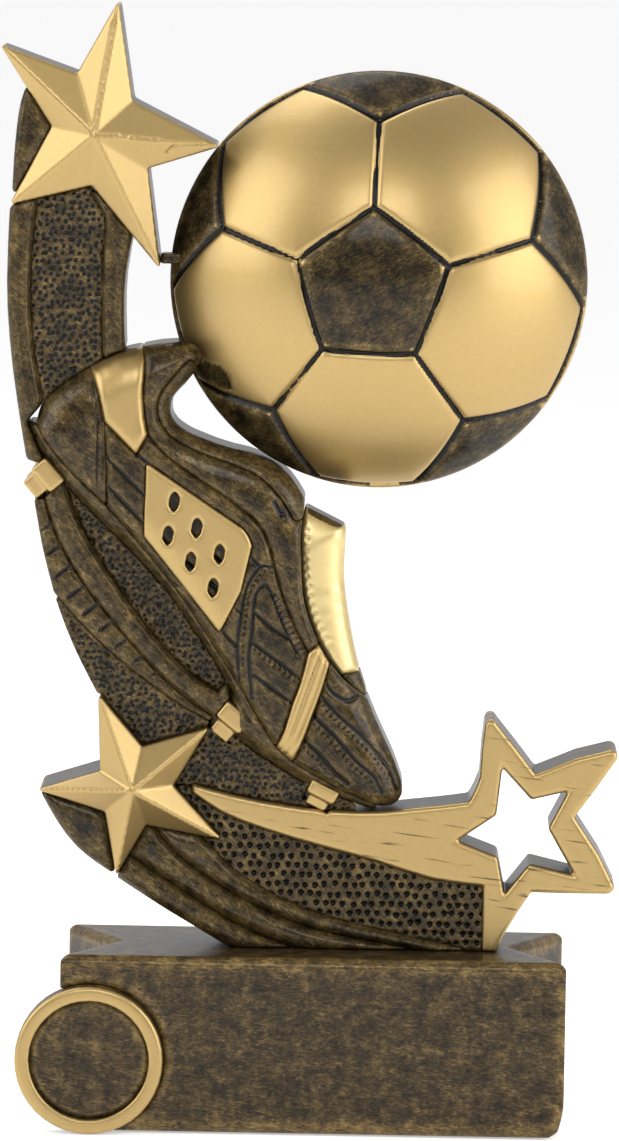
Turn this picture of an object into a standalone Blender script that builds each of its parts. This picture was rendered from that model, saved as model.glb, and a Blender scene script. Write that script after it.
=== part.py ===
"""Football figure trophy: a crescent of bands with three stars, a ball and a boot on a block base.

Units: the values below are millimetres, turned into metres by MM when a piece is made.
Frame: +Z up, the front faces -Y, +X to the right, origin under the middle of the base.
The figure is drawn in its own plane (X across, Z up) at DRAWN_HEIGHT and is scaled to
FIGURE_HEIGHT; what is thick, round or fitted keeps its own named size.
"""
import math

import bmesh
import bpy
from mathutils import Matrix, Vector

MM = 0.001

# ---- driving dimensions, mm ----
BASE_WIDTH = 105.6
BASE_DEPTH = 50.0
BASE_TOP = 37.3          # height of the base's top face above the ground
BASE_LIFT = 0.3          # the block hangs this far above the ground, on its felt
NOTCH_DEPTH = 11.0       # V notch in each end of the block
END_FLAT = 2.0           # flat left at each corner beside the notch
BASE_EDGE = 1.2          # rounding of the block's edges
FIGURE_HEIGHT = 197.9    # base top to the highest star tip
BALL_RADIUS = 43.8
BALL_HALF_DEPTH = 26.0
BALL_RIM_RADIUS = 3.0
BALL_LEAN = 57.78        # from the boot up to the ball's centre, degrees above level
PANEL_THICKNESS = 1.6
PANEL_GROOVE = 1.2
BALL_TURN = {1: 1.9, -1: 36.0}   # turn of the pattern on the front and back faces, degrees
TIE_HALF_DEPTH = 5.0     # the dark tie between the star's lower prong and the ball
CRESCENT_THICKNESS = 18.0
KEEL_THICKNESS = 21.0
SHOOTING_STAR_THICKNESS = 18.6
UPPER_STAR_THICKNESS = 18.0
UPPER_STAR_PEAK = 5.5
LOWER_STAR_THICKNESS = 22.0
LOWER_STAR_PEAK = 6.0
BOOT_THICKNESS = 25.0
SOLE_THICKNESS = 23.0
TONGUE_THICKNESS = 17.0
STUD_WIDTH = 6.0
STUD_HEIGHT = 6.8
TOE_STUD_HEIGHT = 4.9
STUD_SPREAD = 6.6        # distance of a stud's axis from the middle plane
STUD_COLLAR = 0.52       # share of a stud's height that is its wide collar
STUD_SHOULDER = 0.60     # share of its height where the narrow cleat starts
STUD_CLEAT = 0.72        # cleat width as a share of the collar's
STUD_TAPER = 0.94        # tip width as a share of the cleat's
PANEL_SUNK = 1.4         # how deep the boot's gold side panel is let in
PANEL_PROUD = 0.7        # how far it stands out of the boot's side
VENT_LENGTH = 4.6
VENT_WIDTH = 3.0
MEDAL_RADIUS = 15.35
MEDAL_DISC_RADIUS = 12.7     # seat for a 25 mm centre disc
MEDAL_RECESS = 2.2
MEDAL_REBATE = 1.0       # step around the seat that the gold ring is let into
MEDAL_PROUD = 3.5        # how far the ring stands in front of the block
MEDAL_SUNK = 3.0         # how deep the boss sits in the block
FELT_THICKNESS = 1.0
FELT_MARGIN = 4.0        # felt edge inside the block's front, back and notches
SCREW_DIAMETER = 4.0
SCREW_HEAD_DIAMETER = 8.0
SCREW_HEAD_HEIGHT = 3.0
SCREW_HEAD_DEPTH = 9.0   # counterbore depth under the block
SCREW_REACH = 12.0       # how far a screw goes into the figure
DOWEL_DIAMETER = 3.0
GAP = 0.3                # clearance between neighbouring pieces

# ---- derived sizes ----
DRAWN_BASE_TOP = 37.3
DRAWN_HEIGHT = 197.9
FIGURE_SCALE = FIGURE_HEIGHT / DRAWN_HEIGHT
HALF_GAP = GAP / 2
PATTERN_SPREAD = 48.5 / 43.8     # the panel pattern is struck on a sphere this much larger
BALL_PATTERN_RADIUS = BALL_RADIUS * PATTERN_SPREAD
CUT_REACH = 60.0         # half depth of cutters that go right through
CURVE_STEPS = 2
ROUND_STEPS = 20
MEDAL_STEPS = 40
BALL_STEPS = 44
BALL_RINGS = 7           # rings of the ball's cap, from its pole to its rim
POCKET_TOP = 4.0         # how far a tile's pocket cutter stands out of the ball

CORNER = "corner"

GOLD = (0.58, 0.42, 0.15)
PATINA = (0.060, 0.042, 0.020)
STEEL = (0.55, 0.55, 0.56)
FELT = (0.010, 0.010, 0.012)

for old in list(bpy.data.objects):
    bpy.data.objects.remove(old)

parts = bpy.data.collections.new("figure_trophy")
cutters = bpy.data.collections.new("cutters")
bpy.context.scene.collection.children.link(parts)
bpy.context.scene.collection.children.link(cutters)


# ---- helpers ----
def place(x, z):
    """Drawn figure coordinates to the real ones, mm."""
    return x * FIGURE_SCALE, BASE_TOP + (z - DRAWN_BASE_TOP) * FIGURE_SCALE


def drawn_point(x, z):
    """Real coordinates, mm, back to the drawn figure's."""
    return x / FIGURE_SCALE, DRAWN_BASE_TOP + (z - BASE_TOP) / FIGURE_SCALE


def finish(name, colour, metallic, roughness):
    material = bpy.data.materials.new(name + "_finish")
    material.use_nodes = True
    shader = material.node_tree.nodes["Principled BSDF"]
    shader.inputs["Base Color"].default_value = (*colour, 1.0)
    shader.inputs["Metallic"].default_value = metallic
    shader.inputs["Roughness"].default_value = roughness
    return material


def gold(name):
    return finish(name, GOLD, 1.0, 0.38)


def patina(name):
    return finish(name, PATINA, 0.3, 0.45)


def add_part(name, mesh, material):
    mesh.name = name
    mesh.materials.clear()
    mesh.materials.append(material)
    obj = bpy.data.objects.new(name, mesh)
    parts.objects.link(obj)
    return obj


def add_cutter(name, mesh):
    obj = bpy.data.objects.new(name, mesh)
    obj.hide_render = True
    obj.display_type = "WIRE"
    cutters.objects.link(obj)
    return obj


def cut(piece, *tools):
    for tool in tools:
        boolean = piece.modifiers.new("cut_" + tool.name, "BOOLEAN")
        boolean.operation = "DIFFERENCE"
        boolean.object = tool


def face_outwards(bm):
    bmesh.ops.recalc_face_normals(bm, faces=bm.faces)
    if bm.calc_volume(signed=True) < 0:
        bmesh.ops.reverse_faces(bm, faces=bm.faces)


def edge(points):
    """A shared border: smooth between its two end corners."""
    return [(*points[0], CORNER), *points[1:-1], (*points[-1], CORNER)]


def back(points):
    return list(reversed(points))


def slab(name, loops, half, y=0.0, grow=0.0, chamfer=0.0, drawn=True, steps=CURVE_STEPS):
    """A closed slab in the figure's plane: flat outline, thickness along Y, edges chamfered."""
    curve = bpy.data.curves.new(name, "CURVE")
    curve.dimensions = "2D"
    curve.fill_mode = "BOTH"
    curve.resolution_u = steps
    curve.render_resolution_u = 0
    curve.bevel_resolution = 0
    curve.extrude = (half - chamfer) * MM
    curve.bevel_depth = chamfer * MM
    curve.offset = (grow - chamfer) * MM
    for loop in loops:
        spline = curve.splines.new("BEZIER")
        spline.bezier_points.add(len(loop) - 1)
        spline.use_cyclic_u = True
        for knot, point in zip(spline.bezier_points, loop):
            x, z = place(point[0], point[1]) if drawn else point[:2]
            knot.co = (x * MM, z * MM, 0.0)
            kind = "VECTOR" if CORNER in point else "AUTO"
            knot.handle_left_type = kind
            knot.handle_right_type = kind
    obj = bpy.data.objects.new(name, curve)
    bpy.context.scene.collection.objects.link(obj)
    bpy.context.view_layer.update()
    evaluated = obj.evaluated_get(bpy.context.evaluated_depsgraph_get())
    mesh = bpy.data.meshes.new_from_object(evaluated)
    bpy.data.objects.remove(obj)
    bpy.data.curves.remove(curve)
    mesh.transform(Matrix.Translation((0, y * MM, 0)) @ Matrix.Rotation(math.pi / 2, 4, "X"))
    bm = bmesh.new()
    bm.from_mesh(mesh)
    bmesh.ops.remove_doubles(bm, verts=bm.verts, dist=1e-6)
    face_outwards(bm)
    bm.to_mesh(mesh)
    bm.free()
    return mesh


def through(name, loop):
    """A cutter right through the figure along an outline, with the clearance added."""
    return add_cutter(name, slab(name, [loop], CUT_REACH, grow=GAP))


def cylinder_mesh(name, radius, start, end, steps=ROUND_STEPS):
    """A closed cylinder from one point to another, mm."""
    axis = Vector(end) - Vector(start)
    turn = axis.to_track_quat("Z", "Y").to_matrix().to_4x4()
    middle = (Vector(start) + Vector(end)) / 2 * MM
    bm = bmesh.new()
    bmesh.ops.create_cone(bm, cap_ends=True, segments=steps, radius1=radius * MM,
                          radius2=radius * MM, depth=axis.length * MM,
                          matrix=Matrix.Translation(middle) @ turn)
    mesh = bpy.data.meshes.new(name)
    bm.to_mesh(mesh)
    bm.free()
    return mesh


def box_mesh(name, low, high):
    bm = bmesh.new()
    size = Vector(high) - Vector(low)
    middle = (Vector(high) + Vector(low)) / 2 * MM
    bmesh.ops.create_cube(bm, size=MM, matrix=Matrix.Translation(middle) @ Matrix.Diagonal((*size, 1)))
    mesh = bpy.data.meshes.new(name)
    bm.to_mesh(mesh)
    bm.free()
    return mesh


def turned(name, profile, matrix, material, steps=ROUND_STEPS, closed=False):
    """A turned piece: the profile (radius, height), outer side from top to bottom, spun round."""
    mesh = bpy.data.meshes.new(name)
    count = len(profile)
    links = [(i, i + 1) for i in range(count - 1)] + ([(count - 1, 0)] if closed else [])
    mesh.from_pydata([(r * MM, 0.0, h * MM) for r, h in profile], links, [])
    obj = add_part(name, mesh, material)
    obj.matrix_world = matrix
    screw = obj.modifiers.new("turn", "SCREW")
    screw.steps = steps
    screw.render_steps = steps
    screw.use_merge_vertices = True
    screw.merge_threshold = 0.00001
    return obj


# ---- shared borders of the drawn figure, mm (X, Z) ----
UPPER_STAR = [(-44.2, 235.2), (-52.4, 220.3), (-68.3, 225.9), (-57.5, 209.3), (-65.9, 193.1),
              (-49.1, 197.3), (-34.8, 180.4), (-37.6, 201.0), (-22.8, 205.8), (-41.0, 214.9)]
UPPER_STAR_CENTRE = (-48.6, 207.9)
LOWER_STAR = [(-46.0, 90.3), (-45.4, 74.4), (-58.4, 70.3), (-44.3, 65.9), (-41.8, 52.8),
              (-35.8, 63.4), (-20.3, 60.7), (-30.3, 71.6), (-23.2, 83.7), (-36.8, 79.6)]
LOWER_STAR_CENTRE = (-38.6, 71.0)
STAR_HOLE = [(38.7, 76.8), (37.6, 66.4), (29.3, 60.7), (38.1, 57.4), (39.7, 49.2),
             (45.0, 56.0), (54.7, 53.7), (48.9, 63.7), (53.1, 71.9), (45.1, 69.9)]
TAIL_LOWER = [(35.4, 51.3), (24.5, 52.6), (12.7, 56.2), (0.9, 59.2), (-11.0, 62.6),
              (-19.9, 66.0), (-26.2, 70.0)]
TAIL_UPPER = [(-26.2, 71.6), (-17.0, 69.3), (-5.2, 67.3), (3.7, 66.5), (12.5, 66.5),
              (21.3, 67.4), (27.2, 68.1), (32.0, 68.8)]
TAIL_TIP_JOINT = [(-25.5, 70.8, CORNER), (-31.0, 71.6, CORNER)]

OUTER_EDGE = [(-66.2, 192.2), (-66.6, 177.0), (-65.9, 165.0), (-64.0, 151.0), (-62.0, 139.5)]
RIM_EDGE = [(-60.3, 197.0), (-61.6, 182.0), (-61.6, 170.0), (-60.4, 160.0), (-58.6, 151.0)]
INNER_RIM_EDGE = [(-46.1, 190.6), (-46.5, 182.0), (-46.6, 170.0), (-46.2, 159.5)]
INNER_EDGE = [(-40.2, 188.5), (-41.8, 178.4), (-42.0, 170.3), (-41.6, 161.5)]
LADDER_EDGE = [(-61.4, 136.5), (-60.2, 130.6), (-58.4, 121.0), (-55.9, 111.6)]
PANEL_EDGE = [(-55.9, 111.6), (-53.2, 104.2), (-50.0, 97.2), (-46.1, 89.9)]
LADDER_LOWER = [(-55.9, 111.6), (-52.4, 107.6), (-47.8, 102.9), (-41.3, 97.0), (-34.4, 91.9),
                (-28.3, 87.8), (-22.8, 85.0)]
SMOOTH_OUTER = [(-59.2, 136.0), (-56.7, 126.4), (-53.2, 119.2), (-48.8, 112.4), (-43.6, 106.0),
                (-38.8, 100.5), (-32.6, 93.9), (-27.0, 89.3), (-22.0, 86.0)]
SMOOTH_INNER = [(-54.6, 136.5), (-52.8, 131.0), (-50.3, 125.2), (-47.2, 119.7), (-43.2, 113.7),
                (-38.0, 106.5), (-31.4, 98.9), (-26.0, 94.0), (-21.0, 91.0)]

KEEL_EDGE = [(-41.7, 51.7), (-36.8, 48.6), (-31.7, 45.4), (-25.7, 41.9), (-19.6, 38.3), (-15.5, 36.0)]
GROOVE_ONE = [(-40.4, 57.4), (-31.8, 51.8), (-25.7, 47.9), (-19.6, 44.1), (-13.2, 40.8),
              (-5.5, 37.9), (-0.5, 36.0)]
GROOVE_TWO = [(-35.0, 63.9), (-29.9, 57.6), (-24.6, 53.4), (-19.7, 50.2), (-11.6, 45.9),
              (-3.5, 42.6), (3.3, 40.7), (11.0, 39.3), (18.9, 38.0), (28.0, 36.0)]
BEAD_LOWER = [(-25.0, 62.0), (-19.8, 56.2), (-15.8, 52.9), (-9.7, 49.2), (-3.6, 46.4),
              (3.2, 44.1), (12.9, 41.8), (24.7, 39.4), (31.0, 38.0), (36.0, 36.0)]

HEEL_BACK = [(-60.0, 147.2), (-59.2, 150.6), (-57.4, 153.0), (-54.3, 155.5), (-48.9, 159.1)]
STRIPE_TOP = [(-48.9, 159.1), (-43.9, 162.0), (-38.2, 163.5)]
STRIPE_LEFT = [(-48.9, 159.1), (-47.2, 154.5), (-45.7, 148.0)]
STRIPE_RIGHT = [(-38.2, 163.5), (-37.5, 160.8), (-37.7, 155.6), (-37.4, 149.6), (-36.6, 145.4)]
STRIPE_FOOT = (-38.9, 141.2)
COUNTER_FRONT = [(-45.7, 148.0), (-45.2, 139.0), (-44.9, 130.2)]
HEEL_TAB = [(-38.2, 163.5), (-30.3, 164.6), (-26.8, 163.8), (-25.6, 162.0), (-26.4, 159.4)]
OPENING = [(-26.4, 159.4), (-29.1, 155.9), (-31.4, 153.3), (-32.0, 150.9), (-31.6, 148.8),
           (-29.6, 146.7), (-26.0, 144.9), (-18.9, 142.5), (-15.2, 141.7), (-10.4, 139.6),
           (-6.8, 136.9), (-3.6, 132.2)]
COLLAR_GROOVE = [(-28.0, 161.2), (-32.6, 155.9), (-34.3, 152.9), (-34.4, 149.4), (-32.9, 146.5),
                 (-30.3, 144.2), (-24.6, 141.5), (-18.1, 139.3), (-13.9, 137.5), (-10.4, 134.8),
                 (-7.6, 131.3), (-5.4, 127.6)]
QUARTER_GROOVE = [(-36.6, 145.4), (-34.2, 142.5), (-31.4, 140.1), (-24.1, 135.1), (-14.9, 128.8),
                  (-11.7, 124.9), (-9.8, 118.7), (-7.6, 111.4), (-5.2, 105.6), (-2.3, 100.2)]
TONGUE_BACK = [(-3.4, 130.4), (-4.4, 125.0), (-4.2, 119.7), (-3.9, 114.3), (-3.3, 110.3),
               (-1.8, 105.6), (-0.2, 101.9)]
VAMP_TOP = [(2.1, 98.0), (4.6, 95.0)]
TONGUE_FRONT = [(5.1, 126.2), (4.9, 120.4), (4.8, 116.0), (5.2, 111.9), (6.4, 104.6),
                (7.6, 99.2), (8.5, 95.8)]
STRAP_BACK = [(-2.3, 100.2), (-3.8, 93.9), (-5.5, 89.1), (-7.2, 83.3), (-8.7, 80.2)]
STRAP_FRONT = [(2.1, 98.0), (0.9, 93.2), (-1.5, 86.3), (-3.5, 80.8), (-5.2, 77.1)]
TOE_FRONT = [(10.2, 90.3), (12.6, 84.7), (15.2, 79.3), (17.1, 74.6), (17.9, 71.3), (17.3, 69.2),
             (15.4, 67.8), (12.6, 67.7)]
SOLE_HEEL = [(-60.0, 147.2), (-58.2, 143.9), (-53.6, 138.4), (-49.5, 134.4), (-44.9, 130.2)]
SOLE_MIDDLE = [(-44.9, 130.2), (-39.8, 124.6), (-35.4, 119.4), (-28.9, 111.3), (-21.9, 100.8),
               (-16.7, 93.0), (-12.6, 86.6), (-8.7, 80.2)]
SOLE_STRAP = [(-8.7, 80.2), (-5.2, 77.1)]
SOLE_TOE = [(-5.2, 77.1), (0.6, 73.6), (5.7, 70.7), (9.6, 68.9), (12.6, 67.7)]
SOLE_LOWER = [(-61.9, 147.4), (-60.2, 143.2), (-58.1, 139.3), (-53.8, 134.4), (-48.2, 128.7),
              (-39.9, 120.7), (-31.6, 111.8), (-26.0, 103.7), (-20.3, 95.2), (-18.4, 90.2),
              (-18.9, 83.2)]
FORESOLE = [(-18.9, 83.2), (-13.7, 79.0), (-9.0, 76.0), (-3.5, 72.7), (3.0, 70.0),
            (7.4, 68.4), (10.7, 67.2), (13.4, 66.9)]

# where each stud's root sits in the sole, the way it points, and its length
STUDS = {"heel": ((-56.0, 137.6), (-0.75, -0.66), STUD_HEIGHT),
         "middle": ((-16.6, 87.4), (-0.62, -0.78), STUD_HEIGHT),
         "toe": ((1.9, 71.8), (-0.45, -0.89), TOE_STUD_HEIGHT)}

# the point of the boot's collar that the ball's rim rests on
BALL_REST = (-12.4, 140.7)
# the star's prongs that meet the ball and the tie, as places in its outline
BALL_PRONG = 8
TIE_PRONG = 6
# heights of the tie's lower and upper faces in the drawing
TIE_LEVELS = (180.0, 183.6)

# corners of the ball's pattern, as angles from the face's pole, degrees
PENTAGON_POLAR = 20.08
HEXAGON_SIDE_POLAR = 43.36
HEXAGON_OUTER_POLAR = 58.3
HEXAGON_OUTER_LEAN = 13.0
PENTAGON_APOTHEM = 17.0


# ---- ball geometry ----
def ball_centre():
    """The ball rests on the boot's collar, and its centre lies up and to the right of that."""
    lean = math.radians(BALL_LEAN)
    return Vector(place(*BALL_REST)) + Vector((math.cos(lean), math.sin(lean))) * (BALL_RADIUS + GAP)


def ball_face_radius():
    """Radius of the cap that runs smoothly into the rim's own radius."""
    inner = BALL_RADIUS - BALL_RIM_RADIUS
    return ((inner ** 2 + BALL_HALF_DEPTH ** 2 - BALL_RIM_RADIUS ** 2)
            / (2 * (BALL_HALF_DEPTH - BALL_RIM_RADIUS)))


def ball_face_slope():
    """Sine of the slope where the cap runs into the rim, the furthest that a tile may reach."""
    return (BALL_RADIUS - BALL_RIM_RADIUS) / (ball_face_radius() - BALL_RIM_RADIUS)


def ball_profile(steps, grow=0.0):
    """Half profile of the ball from the front pole to the back pole, (radius, height)."""
    cap = ball_face_radius()
    sink = cap - BALL_HALF_DEPTH
    meet = math.asin(ball_face_slope())
    points = [((cap + grow) * math.sin(meet * i / steps),
               (cap + grow) * math.cos(meet * i / steps) - sink) for i in range(steps + 1)]
    rim = BALL_RIM_RADIUS + grow
    middle = BALL_RADIUS - BALL_RIM_RADIUS
    for i in range(1, 3):
        angle = meet + (math.pi / 2 - meet) * i / 2
        points.append((middle + rim * math.sin(angle), rim * math.cos(angle)))
    points[0] = (0.0, points[0][1])
    mirrored = [(r, -h) for r, h in reversed(points[:-1])]
    return points + mirrored


def on_ball(direction, centre, side, lift):
    """A direction of the pattern sphere to a point of the ball's face, mm, raised by lift."""
    cap = ball_face_radius()
    radius = BALL_PATTERN_RADIUS * math.hypot(direction.x, direction.z)
    slope = min(radius / cap, ball_face_slope())
    normal = math.asin(slope)
    heading = Vector((direction.x, direction.z)).normalized() if radius > 1e-9 else Vector((0, 0))
    reach = (cap + lift) * math.sin(normal)
    depth = (cap + lift) * math.cos(normal) - (cap - BALL_HALF_DEPTH)
    return Vector((centre.x + heading.x * reach, -side * depth, centre.y + heading.y * reach))


def pattern_directions(turned_by):
    """Corners of the centre pentagon and of the five hexagons around it, as unit directions."""
    first = math.radians(turned_by)
    ring_one = math.radians(PENTAGON_POLAR)
    ring_two = math.radians(HEXAGON_SIDE_POLAR)
    ring_three = math.radians(HEXAGON_OUTER_POLAR)
    lean = math.radians(HEXAGON_OUTER_LEAN)

    def at(polar, turn):
        angle = first + turn
        reach = math.sin(polar)
        return Vector((reach * math.sin(angle), math.cos(polar), reach * math.cos(angle)))

    fifth = math.tau / 5
    pentagon = [at(ring_one, fifth * i) for i in range(5)]
    hexagons = []
    for i in range(5):
        start, end = fifth * i, fifth * (i + 1)
        hexagons.append([at(ring_one, start), at(ring_two, start), at(ring_three, start + lean),
                         at(ring_three, end - lean), at(ring_two, end), at(ring_one, end)])
    return pentagon, hexagons


def ball_patch(name, corners, centre, side, scale, low, high):
    """A closed curved tile on the ball's face between two heights, mm."""
    middle = sum(corners, Vector()) / len(corners)
    bm = bmesh.new()
    bm.faces.new([bm.verts.new(middle + (corner - middle) * scale) for corner in corners])
    bmesh.ops.poke(bm, faces=bm.faces)
    bmesh.ops.subdivide_edges(bm, edges=bm.edges, cuts=2, use_grid_fill=True)
    bmesh.ops.triangulate(bm, faces=bm.faces)
    lower = bmesh.ops.duplicate(bm, geom=bm.verts[:] + bm.edges[:] + bm.faces[:])["geom"]
    lower_verts = {item for item in lower if isinstance(item, bmesh.types.BMVert)}
    for vert in bm.verts:
        vert.co = on_ball(vert.co, centre, side, low if vert in lower_verts else high) * MM
    bmesh.ops.bridge_loops(bm, edges=[item for item in bm.edges if item.is_boundary])
    bmesh.ops.triangulate(bm, faces=bm.faces)
    bmesh.ops.recalc_face_normals(bm, faces=bm.faces)
    mesh = bpy.data.meshes.new(name)
    bm.to_mesh(mesh)
    bm.free()
    return mesh


def make_ball():
    centre = ball_centre()
    spot = Matrix.Translation((centre.x * MM, 0, centre.y * MM)) @ Matrix.Rotation(math.pi / 2, 4, "X")
    core = turned("ball_core", ball_profile(BALL_RINGS), spot, patina("ball_core"), BALL_STEPS)
    clearance = turned("ball_clearance", ball_profile(BALL_RINGS, GAP), spot, patina("ball_clearance"),
                       BALL_STEPS)
    parts.objects.unlink(clearance)
    cutters.objects.link(clearance)
    clearance.hide_render = True
    clearance.display_type = "WIRE"
    apothem = BALL_PATTERN_RADIUS * math.sin(math.radians(PENTAGON_APOTHEM))
    tile_scale = 1 - PANEL_GROOVE / 2 / apothem
    pocket_scale = 1 + GAP / apothem
    for side, word in ((1, "front"), (-1, "back")):
        pentagon, hexagons = pattern_directions(BALL_TURN[side])
        tiles = [("pentagon", pentagon)] + [("hexagon_%d" % (i + 1), h) for i, h in enumerate(hexagons)]
        for tile, corners in tiles:
            name = "ball_%s_%s" % (word, tile)
            material = patina(name) if tile == "pentagon" else gold(name)
            add_part(name, ball_patch(name, corners, centre, side, tile_scale, -PANEL_THICKNESS, 0.0),
                     material)
            pocket = ball_patch(name + "_pocket", corners, centre, side, pocket_scale,
                                -PANEL_THICKNESS - GAP, POCKET_TOP)
            cut(core, add_cutter(name + "_pocket", pocket))
    return core, clearance, centre


# ---- stars ----
def star(name, outline, centre, thickness, peak, material):
    """A slab star with a low pyramid on each face, meeting over its centre."""
    mesh = slab(name, [[(*point, CORNER) for point in outline]], thickness / 2)
    bm = bmesh.new()
    bm.from_mesh(mesh)
    half = thickness / 2 * MM
    for side in (-1, 1):
        flat = [face for face in bm.faces if all(abs(v.co.y - side * half) < 1e-6 for v in face.verts)]
        rim = bmesh.ops.dissolve_faces(bm, faces=flat)["region"]
        top = bmesh.ops.poke(bm, faces=rim)["verts"][0]
        x, z = place(*centre)
        top.co = (x * MM, side * (half + peak * MM), z * MM)
    bmesh.ops.recalc_face_normals(bm, faces=bm.faces)
    bm.to_mesh(mesh)
    bm.free()
    return add_part(name, mesh, material)


def upper_star_outline():
    """The star's outline, with the prong that holds the ball drawn out to the ball's rim."""
    centre = ball_centre()
    tip = Vector(place(*UPPER_STAR[BALL_PRONG]))
    reach = centre + (tip - centre).normalized() * BALL_RADIUS
    outline = list(UPPER_STAR)
    outline[BALL_PRONG] = drawn_point(*reach)
    return outline


def make_stars():
    outline = upper_star_outline()
    upper = star("upper_star", outline, UPPER_STAR_CENTRE, UPPER_STAR_THICKNESS,
                 UPPER_STAR_PEAK, gold("upper_star"))
    lower = star("lower_star", LOWER_STAR, LOWER_STAR_CENTRE, LOWER_STAR_THICKNESS,
                 LOWER_STAR_PEAK, gold("lower_star"))
    upper_cut = through("upper_star_clearance", [(*point, CORNER) for point in outline])
    lower_cut = through("lower_star_clearance", [(*point, CORNER) for point in LOWER_STAR])
    return upper, lower, upper_cut, lower_cut


def shooting_star_outline():
    head = [(34.3, 74.0), (35.2, 85.4), (36.4, 86.4), (37.6, 85.2), (45.8, 74.9, CORNER),
            (61.6, 80.4), (62.9, 79.4), (62.0, 77.6), (54.0, 66.2, CORNER), (62.7, 51.6),
            (62.0, 50.4), (60.2, 50.2), (45.3, 50.3, CORNER), (39.3, 40.4), (37.7, 36.0, CORNER),
            (35.4, 36.0, CORNER)]
    return edge(TAIL_LOWER) + edge(TAIL_UPPER) + head


def make_shooting_star(ground_cut, lower_cut):
    outline = shooting_star_outline()
    hole = [(*point, CORNER) for point in STAR_HOLE]
    mesh = slab("shooting_star", [outline, hole], SHOOTING_STAR_THICKNESS / 2, chamfer=0.5)
    piece = add_part("shooting_star", mesh, gold("shooting_star"))
    cut(piece, ground_cut, lower_cut)
    return piece, through("shooting_star_clearance", outline)


# ---- crescent and keel ----
def band(name, outline, thickness, material, tools, chamfer=0.6):
    mesh = slab(name, [outline], thickness / 2, grow=-HALF_GAP, chamfer=chamfer)
    piece = add_part(name, mesh, material)
    cut(piece, *tools)
    return piece


def make_crescent(upper_cut, lower_cut, boot_cut, tail_cut, stud_cuts):
    rim = CRESCENT_THICKNESS
    tip = [(-62.6, 219.2, CORNER), (-64.2, 214.3), (-65.0, 208.7), (-65.5, 202.0),
           (-65.8, 194.6, CORNER), (-56.0, 205.0, CORNER), (-56.0, 212.0, CORNER)]
    band("crescent_tip", tip, rim, patina("crescent_tip"), [upper_cut])
    outer = edge(OUTER_EDGE) + [(-57.0, 138.0, CORNER), *back(edge(RIM_EDGE))]
    band("crescent_outer_rim", outer, rim, patina("crescent_outer_rim"),
         [upper_cut, boot_cut, *stud_cuts])
    panel = edge(RIM_EDGE) + [(-55.5, 150.0, CORNER), *back(edge(INNER_RIM_EDGE)),
                              (-49.0, 195.4, CORNER), (-50.0, 201.0, CORNER)]
    sweep_panel = band("crescent_net_panel", panel, rim - 3.0, patina("crescent_net_panel"),
                       [upper_cut, boot_cut], chamfer=0)
    inner = edge(INNER_EDGE) + [*back(edge(INNER_RIM_EDGE)), (-49.0, 195.4, CORNER),
                                (-47.5, 199.5, CORNER)]
    band("crescent_inner_rim", inner, rim, patina("crescent_inner_rim"), [upper_cut, boot_cut])

    ladder = edge(LADDER_EDGE)[:-1] + edge(LADDER_LOWER) + back(edge(SMOOTH_OUTER))
    band("ladder_band", ladder, rim - 1.0, patina("ladder_band"), [boot_cut, lower_cut, *stud_cuts])
    smooth = edge(SMOOTH_OUTER) + [(-19.2, 83.6, CORNER), (-15.0, 90.0, CORNER),
                                   (-18.5, 94.5, CORNER), *back(edge(SMOOTH_INNER))]
    band("smooth_band", smooth, rim, patina("smooth_band"), [boot_cut, *stud_cuts])
    recess = edge(SMOOTH_INNER) + [(-18.0, 96.0, CORNER), (-30.0, 113.0, CORNER),
                                   (-46.0, 131.0, CORNER)]
    band("heel_recess_panel", recess, rim - 7.0, patina("heel_recess_panel"),
         [boot_cut, *stud_cuts], chamfer=0)
    outside = edge(PANEL_EDGE) + [(-44.0, 84.0, CORNER), (-36.0, 77.0, CORNER),
                                  (-25.0, 81.0, CORNER), *back(edge(LADDER_LOWER))[:-1]]
    band("outer_net_panel", outside, rim - 2.0, patina("outer_net_panel"), [lower_cut], chamfer=0)
    toe = [(-22.0, 86.0, CORNER), (-19.2, 83.6, CORNER), (-14.0, 82.0, CORNER), (-4.0, 76.0, CORNER),
           (7.0, 71.0, CORNER), (9.0, 64.0, CORNER), (-10.0, 65.5, CORNER), (-20.0, 68.2, CORNER),
           *TAIL_TIP_JOINT, (-30.0, 76.0, CORNER), (-25.0, 82.0, CORNER)]
    band("toe_net_panel", toe, rim - 4.0, patina("toe_net_panel"),
         [boot_cut, lower_cut, tail_cut, *stud_cuts], chamfer=0)
    return sweep_panel


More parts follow.
